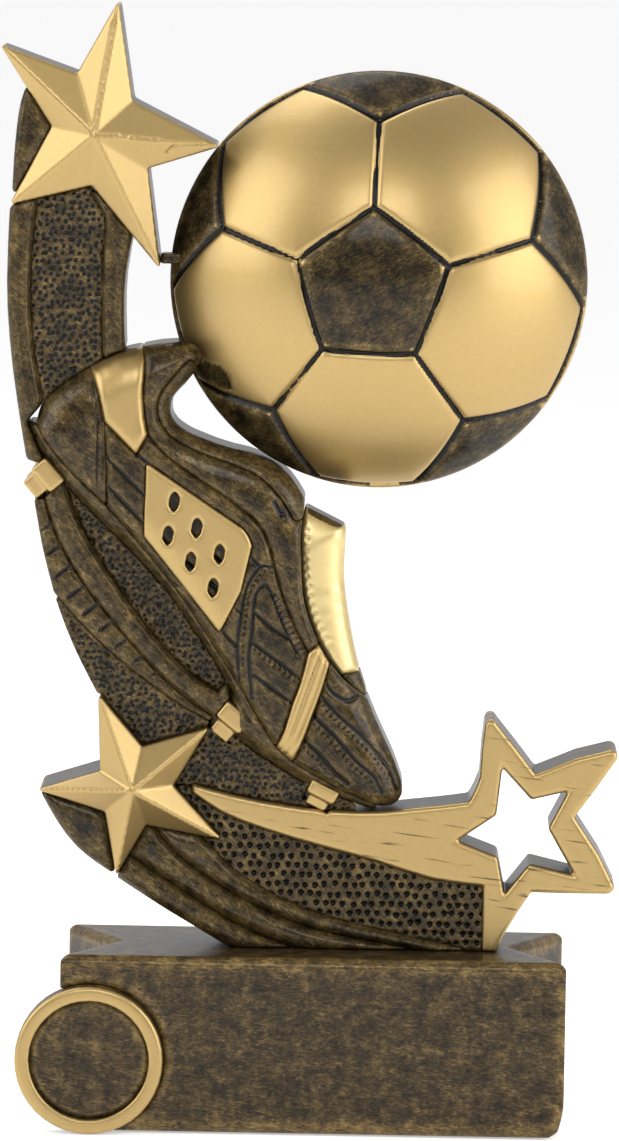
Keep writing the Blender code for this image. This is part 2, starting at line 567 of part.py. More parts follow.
def make_keel(ground_cut, lower_cut, tail_cut):
    thickness = KEEL_THICKNESS
    tip = [(-58.1, 69.6, CORNER), (-54.4, 63.2), (-50.4, 58.2), (-46.2, 54.8),
           (-42.2, 52.3, CORNER), (-42.6, 57.0, CORNER), (-43.5, 68.0, CORNER), (-52.0, 69.6, CORNER)]
    band("keel_tip", tip, thickness - 1.0, patina("keel_tip"), [lower_cut])
    outer = edge(KEEL_EDGE) + back(edge(GROOVE_ONE))
    band("keel_outer_band", outer, thickness, patina("keel_outer_band"), [lower_cut, ground_cut], 1.0)
    middle = edge(GROOVE_ONE) + [*back(edge(GROOVE_TWO)), (-38.5, 63.0, CORNER)]
    middle_band = band("keel_middle_band", middle, thickness, patina("keel_middle_band"),
                       [lower_cut, ground_cut], 1.0)
    inner = edge(GROOVE_TWO) + [*back(edge(BEAD_LOWER)), (-25.0, 64.0, CORNER), (-33.0, 66.0, CORNER)]
    inner_band = band("keel_inner_band", inner, thickness, patina("keel_inner_band"),
                      [lower_cut, ground_cut], 1.0)
    bead = edge(BEAD_LOWER)[:-1] + [(36.6, 35.0, CORNER), (36.6, 55.0, CORNER), (12.0, 60.0, CORNER),
                                    (-12.0, 65.0, CORNER), (-20.0, 68.0, CORNER), *TAIL_TIP_JOINT,
                                    (-26.5, 67.0, CORNER)]
    bead_panel = band("tail_bead_panel", bead, thickness - 3.5, patina("tail_bead_panel"),
                      [lower_cut, tail_cut, ground_cut], chamfer=0)
    return middle_band, inner_band, bead_panel


# ---- boot ----
def boot_piece(name, outline, thickness, material, tools=(), chamfer=0.8):
    return band(name, outline, thickness, material, tools, chamfer)


def boot_outline():
    return (edge(SOLE_LOWER)[:-1] + edge(FORESOLE) + back(TOE_FRONT[1:-1])
            + [(8.6, 94.6), *back(TONGUE_FRONT[1:-1]), (5.1, 126.2, CORNER), (-3.6, 132.2, CORNER)]
            + back(OPENING[1:-1]) + [(-26.4, 159.4), *back(HEEL_TAB[:-1])]
            + [(-43.9, 162.0), (-48.9, 159.1), *back(HEEL_BACK[1:-1])])


def make_boot(ball_cut):
    thick = BOOT_THICKNESS
    counter = (edge(HEEL_BACK)[:-1] + edge(STRIPE_LEFT)[:-1] + edge(COUNTER_FRONT)[:-1]
               + back(edge(SOLE_HEEL))[:-1])
    counter_piece = boot_piece("heel_counter", counter, thick, patina("heel_counter"))
    stripe = (edge(STRIPE_TOP)[:-1] + edge(STRIPE_RIGHT) + [(*STRIPE_FOOT, CORNER)]
              + back(edge(STRIPE_LEFT))[:-1])
    boot_piece("heel_stripe", stripe, thick + 1.0, gold("heel_stripe"))
    ankle = (edge(HEEL_TAB)[:-1] + [(-26.4, 159.4, CORNER), *edge(COLLAR_GROOVE)]
             + [(-3.9, 128.5, CORNER), *TONGUE_BACK[1:-1], (-0.2, 101.9, CORNER)]
             + back(edge(QUARTER_GROOVE))[:-1] + back(edge(STRIPE_RIGHT))[:-1])
    boot_piece("ankle_panel", ankle, thick, patina("ankle_panel"), [ball_cut])
    collar = edge(OPENING) + [(-3.9, 128.5, CORNER), *back(edge(COLLAR_GROOVE))]
    boot_piece("collar_band", collar, thick + 0.8, patina("collar_band"), [ball_cut], 0.4)
    quarter = ([(*STRIPE_FOOT, CORNER)] + edge(QUARTER_GROOVE)[:-1] + edge(STRAP_BACK)[:-1]
               + back(edge(SOLE_MIDDLE))[:-1] + back(edge(COUNTER_FRONT))[:-1]
               + [(-45.7, 148.0, CORNER)])
    side = boot_piece("boot_quarter", quarter, thick, patina("boot_quarter"))
    strap = ([(-0.2, 101.9, CORNER)] + edge(STRAP_FRONT) + [*back(edge(STRAP_BACK))])
    boot_piece("instep_strap", strap, thick + 0.6, gold("instep_strap"), chamfer=0.5)
    toe = (edge(VAMP_TOP)[:-1] + [(4.6, 95.0, CORNER), (7.0, 92.8)] + edge(TOE_FRONT)[:-1]
           + back(edge(SOLE_TOE))[:-1] + back(edge(STRAP_FRONT))[:-1])
    cap = boot_piece("toe_cap", toe, thick - 1.0, patina("toe_cap"))
    tongue = (edge(TONGUE_BACK)[:-1] + [(-0.2, 101.9, CORNER), (2.1, 98.0), (4.6, 95.0, CORNER)]
              + back(edge(TONGUE_FRONT)))
    boot_piece("tongue", tongue, TONGUE_THICKNESS, gold("tongue"), chamfer=1.0)
    tip = [(4.6, 95.0, CORNER), (8.5, 95.8, CORNER), (9.6, 92.6), (10.2, 90.3, CORNER),
           (7.0, 92.8)]
    boot_piece("tongue_tip", tip, TONGUE_THICKNESS - 1.0, patina("tongue_tip"), chamfer=0.4)
    sole = (edge(SOLE_LOWER)[:-1] + edge(FORESOLE)[:-1] + [(13.4, 66.9, CORNER)]
            + back(edge(SOLE_TOE))[:-1] + back(edge(SOLE_STRAP))[:-1] + back(edge(SOLE_MIDDLE))[:-1]
            + back(edge(SOLE_HEEL)))
    sole_plate = boot_piece("sole_plate", sole, SOLE_THICKNESS, patina("sole_plate"), chamfer=0.6)
    return side, [counter_piece, side, cap, sole_plate]


def vent_loops(corner_low, along, across, columns, rows):
    """Oval vents laid out on a slanted panel."""
    loops = []
    for column in range(columns):
        for row in range(rows):
            middle = (Vector(corner_low) + Vector(along) * (column + 0.5) / columns
                      + Vector(across) * (row + 0.5) / rows)
            long_axis = Vector(across).normalized() * VENT_LENGTH / 2
            short_axis = Vector(along).normalized() * VENT_WIDTH / 2
            loops.append([tuple(middle + long_axis * math.cos(t) + short_axis * math.sin(t))
                          for t in (0, math.pi / 2, math.pi, 3 * math.pi / 2)])
    return loops


SADDLE = [(-36.6, 139.3, CORNER), (-16.5, 126.0, CORNER), (-14.6, 122.6), (-21.0, 104.4, CORNER),
          (-36.9, 124.2, CORNER)]


def make_saddle(quarter):
    """The gold side panel of the boot, let into both faces, with oval vents."""
    vents = vent_loops((-35.0, 123.6), (14.4, -16.2), (2.4, 14.2), 3, 2)
    inside = BOOT_THICKNESS / 2 - PANEL_SUNK
    outside = BOOT_THICKNESS / 2 + PANEL_PROUD
    half = (outside - inside) / 2
    for side, word in ((-1, "front"), (1, "back")):
        name = "side_panel_" + word
        y = side * (inside + outside) / 2
        add_part(name, slab(name, [SADDLE, *vents], half, y=y), gold(name))
        pocket = slab(name + "_pocket", [SADDLE], half + 1.0, y=y + side * (1.0 - GAP), grow=GAP)
        cut(quarter, add_cutter(name + "_pocket", pocket))


def make_studs():
    """Stepped studs in pairs, front and back, each a wide collar and a narrower cleat."""
    stud_cuts = []
    for station, (root, heading, height) in STUDS.items():
        x, z = place(*root)
        out = Vector((heading[0], 0, heading[1])).normalized()
        along = Vector((0, 1, 0)).cross(out)
        start = Vector((x, 0, z))
        frame = Matrix((along, Vector((0, 1, 0)), out)).transposed().to_4x4()
        for side, word in ((-1, "front"), (1, "back")):
            name = "stud_%s_%s" % (station, word)
            spot = Matrix.Translation((start + Vector((0, side * STUD_SPREAD, 0))) * MM) @ frame
            wide = STUD_WIDTH / 2
            narrow = wide * STUD_CLEAT
            steps = [(wide, height * STUD_COLLAR), (narrow, height * STUD_SHOULDER),
                     (narrow * STUD_TAPER, height)]
            bm = bmesh.new()
            bmesh.ops.create_grid(bm, x_segments=1, y_segments=1, size=1.0)
            bm.faces.ensure_lookup_table()
            face = bm.faces[0]
            for vert in face.verts:
                vert.co = (vert.co.x * wide * MM, vert.co.y * wide * MM, 0.0)
            for size, level in steps:
                face = bmesh.ops.extrude_discrete_faces(bm, faces=[face])["faces"][0]
                for vert in face.verts:
                    vert.co = (math.copysign(size, vert.co.x) * MM, math.copysign(size, vert.co.y) * MM,
                               level * MM)
            bmesh.ops.holes_fill(bm, edges=[item for item in bm.edges if item.is_boundary])
            bmesh.ops.transform(bm, matrix=spot, verts=bm.verts)
            bmesh.ops.recalc_face_normals(bm, faces=bm.faces)
            mesh = bpy.data.meshes.new(name)
            bm.to_mesh(mesh)
            bm.free()
            add_part(name, mesh, gold(name))
            room = wide + GAP
            clear = box_mesh(name + "_clearance", (-room, -room, -GAP), (room, room, height + GAP))
            clear.transform(spot)
            stud_cuts.append(add_cutter(name + "_clearance", clear))
    return stud_cuts


# ---- base ----
def base_plan():
    """Plan of the block: a rectangle with a V notch in each end, as (X, Y) corners."""
    half_x = BASE_WIDTH / 2
    half_y = BASE_DEPTH / 2
    right = [(half_x, -half_y), (half_x, -half_y + END_FLAT), (half_x - NOTCH_DEPTH, 0.0),
             (half_x, half_y - END_FLAT), (half_x, half_y)]
    left = [(-x, y) for x, y in reversed(right)]
    return [(x, y, CORNER) for x, y in right + left]


def block_mesh(name):
    """The base plan as a slab from the block's underside to its top."""
    half = (BASE_TOP - BASE_LIFT) / 2
    mesh = slab(name, [base_plan()], half, chamfer=BASE_EDGE, drawn=False)
    lift = Matrix.Translation((0, 0, (BASE_LIFT + half) * MM))
    mesh.transform(lift @ Matrix.Rotation(-math.pi / 2, 4, "X"))
    return mesh


def felt_mesh(name, low, high, grow):
    """The rectangle of felt between the notches, or the recess it sits in."""
    half_x = BASE_WIDTH / 2 - NOTCH_DEPTH - FELT_MARGIN + grow
    half_y = BASE_DEPTH / 2 - FELT_MARGIN + grow
    return box_mesh(name, (-half_x, -half_y, low), (half_x, half_y, high))


def make_base(screw_places):
    block = add_part("base_block", block_mesh("base_block"), patina("base_block"))
    cut(block, add_cutter("felt_recess", felt_mesh("felt_recess", -5.0, FELT_THICKNESS + GAP, GAP)))
    felt = felt_mesh("felt_pad", 0.0, FELT_THICKNESS, 0.0)
    add_part("felt_pad", felt, finish("felt_pad", FELT, 0.0, 0.95))
    bore_radius = SCREW_DIAMETER / 2 + GAP
    head_radius = SCREW_HEAD_DIAMETER / 2 + GAP
    head_top = BASE_LIFT + SCREW_HEAD_DEPTH
    for name, x in screw_places:
        cut(block, add_cutter(name + "_bore", cylinder_mesh(name + "_bore", bore_radius, (x, 0, -5),
                                                            (x, 0, BASE_TOP + 5))))
        cut(block, add_cutter(name + "_counterbore",
                              cylinder_mesh(name + "_counterbore", head_radius, (x, 0, -5),
                                            (x, 0, head_top))))
    front = -BASE_DEPTH / 2
    x, z = medal_centre()
    pocket = cylinder_mesh("medal_pocket", MEDAL_RADIUS + GAP, (x, front - 10, z),
                           (x, front + MEDAL_SUNK + GAP, z), 40)
    cut(block, add_cutter("medal_pocket", pocket))
    return block


def medal_centre():
    return -BASE_WIDTH / 2 + 6.3, MEDAL_RADIUS + BASE_LIFT


def make_medal():
    """The round boss on the base's front, with a raised ring around the centre disc's seat."""
    x, z = medal_centre()
    front = -BASE_DEPTH / 2
    spot = Matrix.Translation((x * MM, 0, z * MM)) @ Matrix.Rotation(math.pi / 2, 4, "X")
    low = -front - MEDAL_SUNK
    top = -front + MEDAL_PROUD
    seat = top - MEDAL_RECESS
    step = seat - MEDAL_REBATE
    seat_radius = MEDAL_DISC_RADIUS - GAP
    boss_profile = [(0, seat), (seat_radius, seat), (seat_radius, step), (MEDAL_RADIUS, step),
                    (MEDAL_RADIUS, low), (0, low)]
    turned("medal_boss", boss_profile, spot, patina("medal_boss"), MEDAL_STEPS)
    ring_profile = [(MEDAL_RADIUS - 0.5, top), (MEDAL_RADIUS, top - 0.5),
                    (MEDAL_RADIUS, step + GAP), (MEDAL_DISC_RADIUS, step + GAP),
                    (MEDAL_DISC_RADIUS, top)]
    turned("medal_ring", ring_profile, spot, gold("medal_ring"), MEDAL_STEPS, closed=True)


def make_screws(screw_places, drilled):
    """Long screws from under the base up into the keel."""
    head_top = BASE_LIFT + SCREW_HEAD_DEPTH - GAP
    head_low = head_top - SCREW_HEAD_HEIGHT
    tip = BASE_TOP + SCREW_REACH
    radius = SCREW_DIAMETER / 2
    head = SCREW_HEAD_DIAMETER / 2
    for name, x in screw_places:
        profile = [(0, tip), (radius * 0.6, tip), (radius, tip - 1.2), (radius, head_top),
                   (head, head_top), (head, head_low + 0.8), (head * 0.8, head_low), (0, head_low)]
        turned(name, profile, Matrix.Translation((x * MM, 0, 0)), finish(name, STEEL, 1.0, 0.3))
        hole = cylinder_mesh(name + "_hole", radius + GAP, (x, 0, BASE_TOP - 5), (x, 0, tip + 1.0))
        hole_cut = add_cutter(name + "_hole", hole)
        for piece in drilled:
            cut(piece, hole_cut)


def make_dowel(name, start, end, drilled):
    """A steel pin glued across a joint of the figure; points are real (X, Z)."""
    low = Vector((start[0], 0, start[1]))
    high = Vector((end[0], 0, end[1]))
    way = (high - low).normalized()
    mesh = cylinder_mesh(name, DOWEL_DIAMETER / 2, low, high, 20)
    add_part(name, mesh, finish(name, STEEL, 1.0, 0.3))
    hole = cylinder_mesh(name + "_hole", DOWEL_DIAMETER / 2 + GAP, low - way * GAP, high + way * GAP, 20)
    hole_cut = add_cutter(name + "_hole", hole)
    for piece in drilled:
        cut(piece, hole_cut)


def make_bridge(centre, ball_cut, upper_cut):
    """The short dark tie between the star's lower prong and the ball."""
    left = place(*UPPER_STAR[TIE_PRONG])[0] + GAP
    low, high = (place(0, level)[1] for level in TIE_LEVELS)
    outline = [(left, low, CORNER), (centre.x, low, CORNER), (centre.x, high, CORNER),
               (left, high, CORNER)]
    mesh = slab("star_bridge", [outline], TIE_HALF_DEPTH, chamfer=0.4, drawn=False)
    piece = add_part("star_bridge", mesh, patina("star_bridge"))
    cut(piece, upper_cut, ball_cut)


def main():
    ground = add_cutter("base_top_clearance",
                        box_mesh("base_top_clearance", (-90, -60, BASE_TOP - 20), (90, 60, BASE_TOP + GAP)))
    upper, lower, upper_cut, lower_cut = make_stars()
    shooting, tail_cut = make_shooting_star(ground, lower_cut)
    core, ball_cut, centre = make_ball()
    cut(upper, ball_cut)
    boot_cut = through("boot_clearance", boot_outline())
    stud_cuts = make_studs()
    quarter, rooted = make_boot(ball_cut)
    for piece in rooted:
        cut(piece, *stud_cuts)
    cut(shooting, *stud_cuts)
    make_saddle(quarter)
    net_panel = make_crescent(upper_cut, lower_cut, boot_cut, tail_cut, stud_cuts)
    middle, inner, bead = make_keel(ground, lower_cut, tail_cut)
    screws = [("fixing_screw_left", place(-1.0, 0)[0]), ("fixing_screw_right", place(20.0, 0)[0])]
    make_base(screws)
    make_medal()
    make_screws(screws, [middle, inner, bead])
    make_bridge(centre, ball_cut, upper_cut)
    make_dowel("upper_star_dowel", place(-53.5, 188.0), place(-51.5, 205.0), [upper, net_panel])
    make_dowel("lower_star_dowel", place(-38.6, 72.0), place(-33.8, 55.8), [lower, middle])


main()
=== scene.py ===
# %% [markdown]
# # A football trophy in cast resin
# A trophy like this is cast in stone-filled polyester resin, stained dark, brushed with bronze
# paint that catches the raised parts, given gold paint on its faces and then clear lacquer.
# The solids of the frame are crisp and plain. This lesson gives each one the soft edges,
# grooves, pits and paint of a casting, and leaves every size and place as the frame has it.

import math

import bmesh
import bpy
import numpy as np
from mathutils import Matrix, Vector
from mathutils.bvhtree import BVHTree


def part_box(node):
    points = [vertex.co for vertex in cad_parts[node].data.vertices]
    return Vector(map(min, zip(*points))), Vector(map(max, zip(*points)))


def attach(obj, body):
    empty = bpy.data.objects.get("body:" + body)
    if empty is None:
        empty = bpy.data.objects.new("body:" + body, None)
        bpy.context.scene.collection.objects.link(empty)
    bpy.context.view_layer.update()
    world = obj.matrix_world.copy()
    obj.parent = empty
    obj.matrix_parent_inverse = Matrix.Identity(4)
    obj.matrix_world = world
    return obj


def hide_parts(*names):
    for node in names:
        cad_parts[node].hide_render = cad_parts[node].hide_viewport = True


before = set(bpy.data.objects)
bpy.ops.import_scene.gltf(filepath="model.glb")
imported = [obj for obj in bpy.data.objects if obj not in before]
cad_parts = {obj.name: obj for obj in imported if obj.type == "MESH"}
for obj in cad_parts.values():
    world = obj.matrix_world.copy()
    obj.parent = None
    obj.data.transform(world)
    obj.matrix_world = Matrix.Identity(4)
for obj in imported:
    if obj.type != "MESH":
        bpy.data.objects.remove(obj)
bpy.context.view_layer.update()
MM = 0.001

# %% [markdown]
# ## An even net to model on
# A casting has no sharp edge, and its relief runs across large flat faces. Long thin triangles
# can't be carved, so a merged copy of each solid gets a voxel remesh, which gives small even
# faces, and a few rounds of smoothing, which melt the corners as a mould does.

# %% Meshes as arrays of millimetres
def points_of(mesh):
    flat = np.empty(len(mesh.vertices) * 3)
    mesh.vertices.foreach_get("co", flat)
    return flat.reshape(-1, 3) / MM


def normals_of(mesh):
    flat = np.empty(len(mesh.vertices) * 3)
    mesh.vertex_normals.foreach_get("vector", flat)
    return flat.reshape(-1, 3)


def set_points(mesh, points):
    mesh.vertices.foreach_set("co", (points * MM).ravel())
    mesh.update()


def store(mesh, name, values):
    layer = mesh.attributes.new(name, "FLOAT", "POINT")
    layer.data.foreach_set("value", np.asarray(values, np.float32))


# %% A merged copy of a solid, and its even net
def merged_copy(node):
    bm = bmesh.new()
    bm.from_mesh(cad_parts[node].data)
    bmesh.ops.remove_doubles(bm, verts=bm.verts, dist=1e-6)
    return bm


def even_net(name, bm, grain, soften):
    """The closed shape in bm as small even faces of about grain mm, softened."""
    mesh = bpy.data.meshes.new(name)
    bm.to_mesh(mesh)
    bm.free()
    shape = bpy.data.objects.new(name + "_shape", mesh)
    bpy.context.scene.collection.objects.link(shape)
    net = shape.modifiers.new("net", "REMESH")
    net.mode = "VOXEL"
    net.voxel_size = grain * MM
    net.use_smooth_shade = True
    melt = shape.modifiers.new("melt", "SMOOTH")
    melt.factor = 0.5
    melt.iterations = soften
    bpy.context.view_layer.update()
    made = bpy.data.meshes.new_from_object(shape.evaluated_get(bpy.context.evaluated_depsgraph_get()))
    bpy.data.objects.remove(shape)
    bpy.data.meshes.remove(mesh)
    made.name = name
    return made


# %% [markdown]
# ## How far inside an outline a point lies
# A modelled boot is thick in the middle and thins towards its outline. Rays along Y show where
# the pieces cover the figure's plane, and the distance from each covered cell to the nearest
# bare one says how far inside the outline it is. Blurring a little keeps the surface smooth.

# %% Smooth steps and distances
CELL = 0.5


def smooth_step(values, low, high):
    t = np.clip((values - low) / (high - low), 0.0, 1.0)
    return t * t * (3 - 2 * t)


def spread(grid, count):
    for _ in range(count):
        padded = np.pad(grid, 1)
        grid = np.maximum.reduce([padded[1 + i:padded.shape[0] - 1 + i, 1 + j:padded.shape[1] - 1 + j]
                                  for i, j in ((0, 0), (1, 0), (-1, 0), (0, 1), (0, -1))])
    return grid


def inside_distance(nodes):
    """A function of X and Z, mm: the distance to the joint outline of these nodes."""
    joined = bmesh.new()
    for node in nodes:
        joined.from_mesh(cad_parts[node].data)
    tree = BVHTree.FromBMesh(joined)
    joined.free()
    corners = [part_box(node) for node in nodes]
    margin = 4 * CELL
    low_x = min(low.x for low, high in corners) / MM - margin
    low_z = min(low.z for low, high in corners) / MM - margin
    count_x = int((max(high.x for low, high in corners) / MM + margin - low_x) / CELL) + 1
    count_z = int((max(high.z for low, high in corners) / MM + margin - low_z) / CELL) + 1
    covered = np.zeros((count_x, count_z))
    ahead = Vector((0, 1, 0))
    for i in range(count_x):
        for j in range(count_z):
            start = Vector(((low_x + i * CELL) * MM, -0.1, (low_z + j * CELL) * MM))
            covered[i, j] = tree.ray_cast(start, ahead)[0] is not None
    covered = 1 - spread(1 - spread(covered, 2), 2)
    rim = np.argwhere((covered > 0) & (spread(1 - covered, 1) > 0))
    distance = np.zeros_like(covered)
    cells = np.argwhere(covered > 0)
    for part in np.array_split(cells, max(1, len(cells) // 4000)):
        away = np.linalg.norm(part[:, None, :] - rim[None, :, :], axis=2).min(axis=1)
        distance[part[:, 0], part[:, 1]] = (away + 0.5) * CELL
    for _ in range(3):
        edge = np.pad(distance, 1, mode="edge")
        distance = (edge[:-2, 1:-1] + edge[2:, 1:-1] + edge[1:-1, :-2] + edge[1:-1, 2:]
                    + 2 * edge[1:-1, 1:-1]) / 6

    def look_up(x, z):
        u = np.clip((x - low_x) / CELL, 0, count_x - 1.001)
        v = np.clip((z - low_z) / CELL, 0, count_z - 1.001)
        i, j = u.astype(int), v.astype(int)
        u, v = u - i, v - j
        return ((distance[i, j] * (1 - u) + distance[i + 1, j] * u) * (1 - v)
                + (distance[i, j + 1] * (1 - u) + distance[i + 1, j + 1] * u) * v)
    return look_up


# %% [markdown]
# ## Carving
# Seams, folds and stitches are lines drawn with a tool in the clay master. A line here is a few
# points in millimetres, made smooth, and it sinks the faces that look forwards or back.

# %% Lines and what they carve
def smooth_line(points, steps=8):
    """A smooth curve through the points (Catmull-Rom)."""
    p = np.array(points, float)
    ends = np.vstack([2 * p[0] - p[1], p, 2 * p[-1] - p[-2]])
    made = []
    for a, b, c, d in zip(ends[:-3], ends[1:-2], ends[2:-1], ends[3:]):
        for t in np.arange(steps) / steps:
            made.append(0.5 * (2 * b + (c - a) * t + (2 * a - 5 * b + 4 * c - d) * t * t
                               + (3 * b - a - 3 * c + d) * t ** 3))
    return np.array(made + [p[-1]])


def along_line(points, x, z):
    """Each (X, Z) point's distance from the line, and how far along the line it is."""
    line = smooth_line(points)
    nearest = np.full(len(x), 1e9)
    travelled = np.zeros(len(x))
    done = 0.0
    for start, end in zip(line[:-1], line[1:]):
        way = end - start
        length = np.linalg.norm(way)
        share = np.clip(((x - start[0]) * way[0] + (z - start[1]) * way[1]) / length ** 2, 0, 1)
        away = np.hypot(x - start[0] - share * way[0], z - start[1] - share * way[1])
        closer = away < nearest
        nearest[closer] = away[closer]
        travelled[closer] = (done + share * length)[closer]
        done += length
    return nearest, travelled


def groove(lines, width, depth, pitch=0.0):
    """A tool that cuts grooves, or, with a pitch, a row of stitch holes."""
    def tool(points, normals):
        sunk = np.zeros(len(points))
        for line in lines:
            away, travelled = along_line(line, points[:, 0], points[:, 2])
            cut = np.exp(-(away / width) ** 2)
            if pitch:
                cut *= smooth_step(np.cos(2 * math.pi * travelled / pitch), -0.2, 0.6)
            sunk = np.maximum(sunk, depth * cut)
        return sunk
    return tool


def pits(pitch, radius, depth, stray, seed):
    """A tool that punches a loose grid of round pits."""
    size = 64
    shift = np.random.RandomState(seed).uniform(-stray, stray, (size, size, 2))

    def tool(points, normals):
        x, z = points[:, 0] / pitch, points[:, 2] / pitch
        i, j = np.floor(x).astype(int), np.floor(z).astype(int)
        nearest = np.full(len(points), 9.0)
        for di in (-1, 0, 1):
            for dj in (-1, 0, 1):
                column, row = i + di, j + dj
                offset = shift[column % size, row % size]
                away = np.hypot(x - column - 0.5 - offset[:, 0] - 0.5 * (row % 2),
                                z - row - 0.5 - offset[:, 1])
                nearest = np.minimum(nearest, away)
        return depth * (1 - smooth_step(nearest * pitch, radius * 0.45, radius))
    return tool


# %% [markdown]
# ## From a solid to a casting
# The paint depends on the relief: bronze is wiped off the ridges' sides and stays dark in the
# hollows. So each net stores how far a point stands above its surroundings, as relief, and how
# much it faces forwards or back, as gilt, because gold is brushed on the faces only.

# %% Relief, then the casting function
RELIEF_SPAN = 0.9


def relief_of(mesh, points, normals, rounds=10):
    pairs = np.empty(len(mesh.edges) * 2, np.int32)
    mesh.edges.foreach_get("vertices", pairs)
    a, b = pairs.reshape(-1, 2).T
    count = len(points)
    neighbours = np.maximum(np.bincount(a, minlength=count) + np.bincount(b, minlength=count), 1)
    soft = points.copy()
    for _ in range(rounds):
        soft = np.stack([(np.bincount(a, soft[b, k], count) + np.bincount(b, soft[a, k], count))
                         / neighbours for k in range(3)], axis=1)
    return np.clip(0.5 + ((points - soft) * normals).sum(axis=1) / RELIEF_SPAN, 0, 1)


BODY = "root"
SWELL = 0.2
FILLER_SUNK = 0.4
triangles = {}


def as_piece(name, mesh, nodes, material):
    """An object at the origin that stands for its CAD nodes."""
    piece = bpy.data.objects.new(name, mesh)
    bpy.context.scene.collection.objects.link(piece)
    mesh.materials.clear()
    mesh.materials.append(material)
    mesh.shade_smooth()
    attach(piece, BODY)
    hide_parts(*nodes)
    triangles[name] = sum(len(face.vertices) - 2 for face in mesh.polygons)
    return piece


def cast(node, material, grain=0.45, soften=3, thin=None, tools=(), gilt_edge=(0.3, 0.6),
         dark_top_painted_shade=False, squeeze=(1.0, 1.0, 1.0), fill=()):
    """The node as a casting: softened, thinned towards an outline, and carved by the tools.

    fill names studs: a block fills the pocket round each, and the net makes it one with the panel."""
    solid = merged_copy(node)
    low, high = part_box(node)
    bmesh.ops.scale(solid, vec=squeeze, verts=solid.verts, space=Matrix.Translation(-(low + high) / 2))
    for stud in fill:
        corner, far_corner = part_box(stud)
        middle, size = (corner + far_corner) / 2, far_corner - corner
        middle.y, size.y = 0.0, 2 * high.y - FILLER_SUNK * MM
        bmesh.ops.create_cube(solid, size=1.0,
                              matrix=Matrix.Translation(middle) @ Matrix.Diagonal((*size, 1.0)))
    mesh = even_net(node + "_cast", solid, grain, soften)
    points, normals = points_of(mesh), normals_of(mesh)
    points += normals * SWELL
    if thin:
        distance, reach, drop, half = thin
        inside = np.clip(distance(points[:, 0], points[:, 2]) / reach, 0, 1)
        points[:, 1] *= 1 - drop / half * (1 - np.sqrt(1 - (1 - inside) ** 2))
    facing = smooth_step(np.abs(normals[:, 1]), 0.35, 0.8)
    sunk = np.zeros(len(points))
    for tool in tools:
        sunk = np.maximum(sunk, tool(points, normals))
    points[:, 1] -= np.sign(points[:, 1]) * sunk * facing
    set_points(mesh, points)
    normals = normals_of(mesh)
    store(mesh, "relief", relief_of(mesh, points, normals))
    gilt = smooth_step(np.abs(normals[:, 1]), *gilt_edge)
    # Upward-facing faces lose their gold and keep the dark stain: painted shade for the boot's opening
    # above the tongue.
    if dark_top_painted_shade:
        gilt *= 1 - smooth_step(normals[:, 2], 0.45, 0.7)
    store(mesh, "gilt", gilt)
    return as_piece(node + "_cast", mesh, [node], material)


# %% [markdown]
# ## Paint and lacquer
# One small function adds a node, and one turns a hex colour into the linear value that the
# shader wants. Pattern sizes are real ones: a bristle leaves a streak about 0.4 mm wide and
# 3 mm long, and the stain gathers in patches of about 5 mm.

# %% Colour and node helpers
def linear(hex_colour):
    channels = [int(hex_colour[i:i + 2], 16) / 255 for i in (1, 3, 5)]
    return (*[c / 12.92 if c <= 0.04045 else ((c + 0.055) / 1.055) ** 2.4 for c in channels], 1.0)


def add(tree, kind, inputs=None, stops=None, **settings):
    """One node: its settings, its colour stops if it has any, and its values or links."""
    node = tree.nodes.new(kind)
    for key, value in settings.items():
        setattr(node, key, value)
    for place, (position, colour) in enumerate(stops or []):
        elements = node.color_ramp.elements
        element = elements[place] if place < 2 else elements.new(position)
        element.position = position
        element.color = linear(colour)
    for key, value in (inputs or {}).items():
        if isinstance(value, bpy.types.NodeSocket):
            tree.links.new(value, node.inputs[key])
        else:
            node.inputs[key].default_value = value
    return node


def new_material(name):
    material = bpy.data.materials.new(name)
    material.use_nodes = True
    tree = material.node_tree
    tree.nodes.clear()
    shader = tree.nodes.new("ShaderNodeBsdfPrincipled")
    output = tree.nodes.new("ShaderNodeOutputMaterial")
    tree.links.new(shader.outputs["BSDF"], output.inputs["Surface"])
    return material, tree, shader


# %% [markdown]
# The resin's stain is nearly black, and dry-brushed bronze gives it brown flecks. The lacquer
# is a clear coat with its own gloss, which is why walls that are seen edge-on look pale.
# The gold is a fine metallic paint: metallic, satin, with the brush's streaks in it.

# %% Lacquered resin, with or without gold paint
STAIN = [(0.36, "#0B0905"), (0.52, "#2A2212"), (0.70, "#544528"), (0.92, "#937A49")]
GOLD = [(0.25, "#A58A54"), (0.50, "#B49963"), (0.80, "#C0A671")]
# This ramp is the same gold paint made lighter: a painted highlight for the tongue, which turns towards
# the right-hand light.
GOLD_WITH_PAINTED_HIGHLIGHT = [(0.25, "#C8B078"), (0.50, "#D8C289"), (0.80, "#E2CE98")]
STREAK_WIDTH, STREAK_LENGTH, PATCH = 0.0005, 0.0020, 0.0042


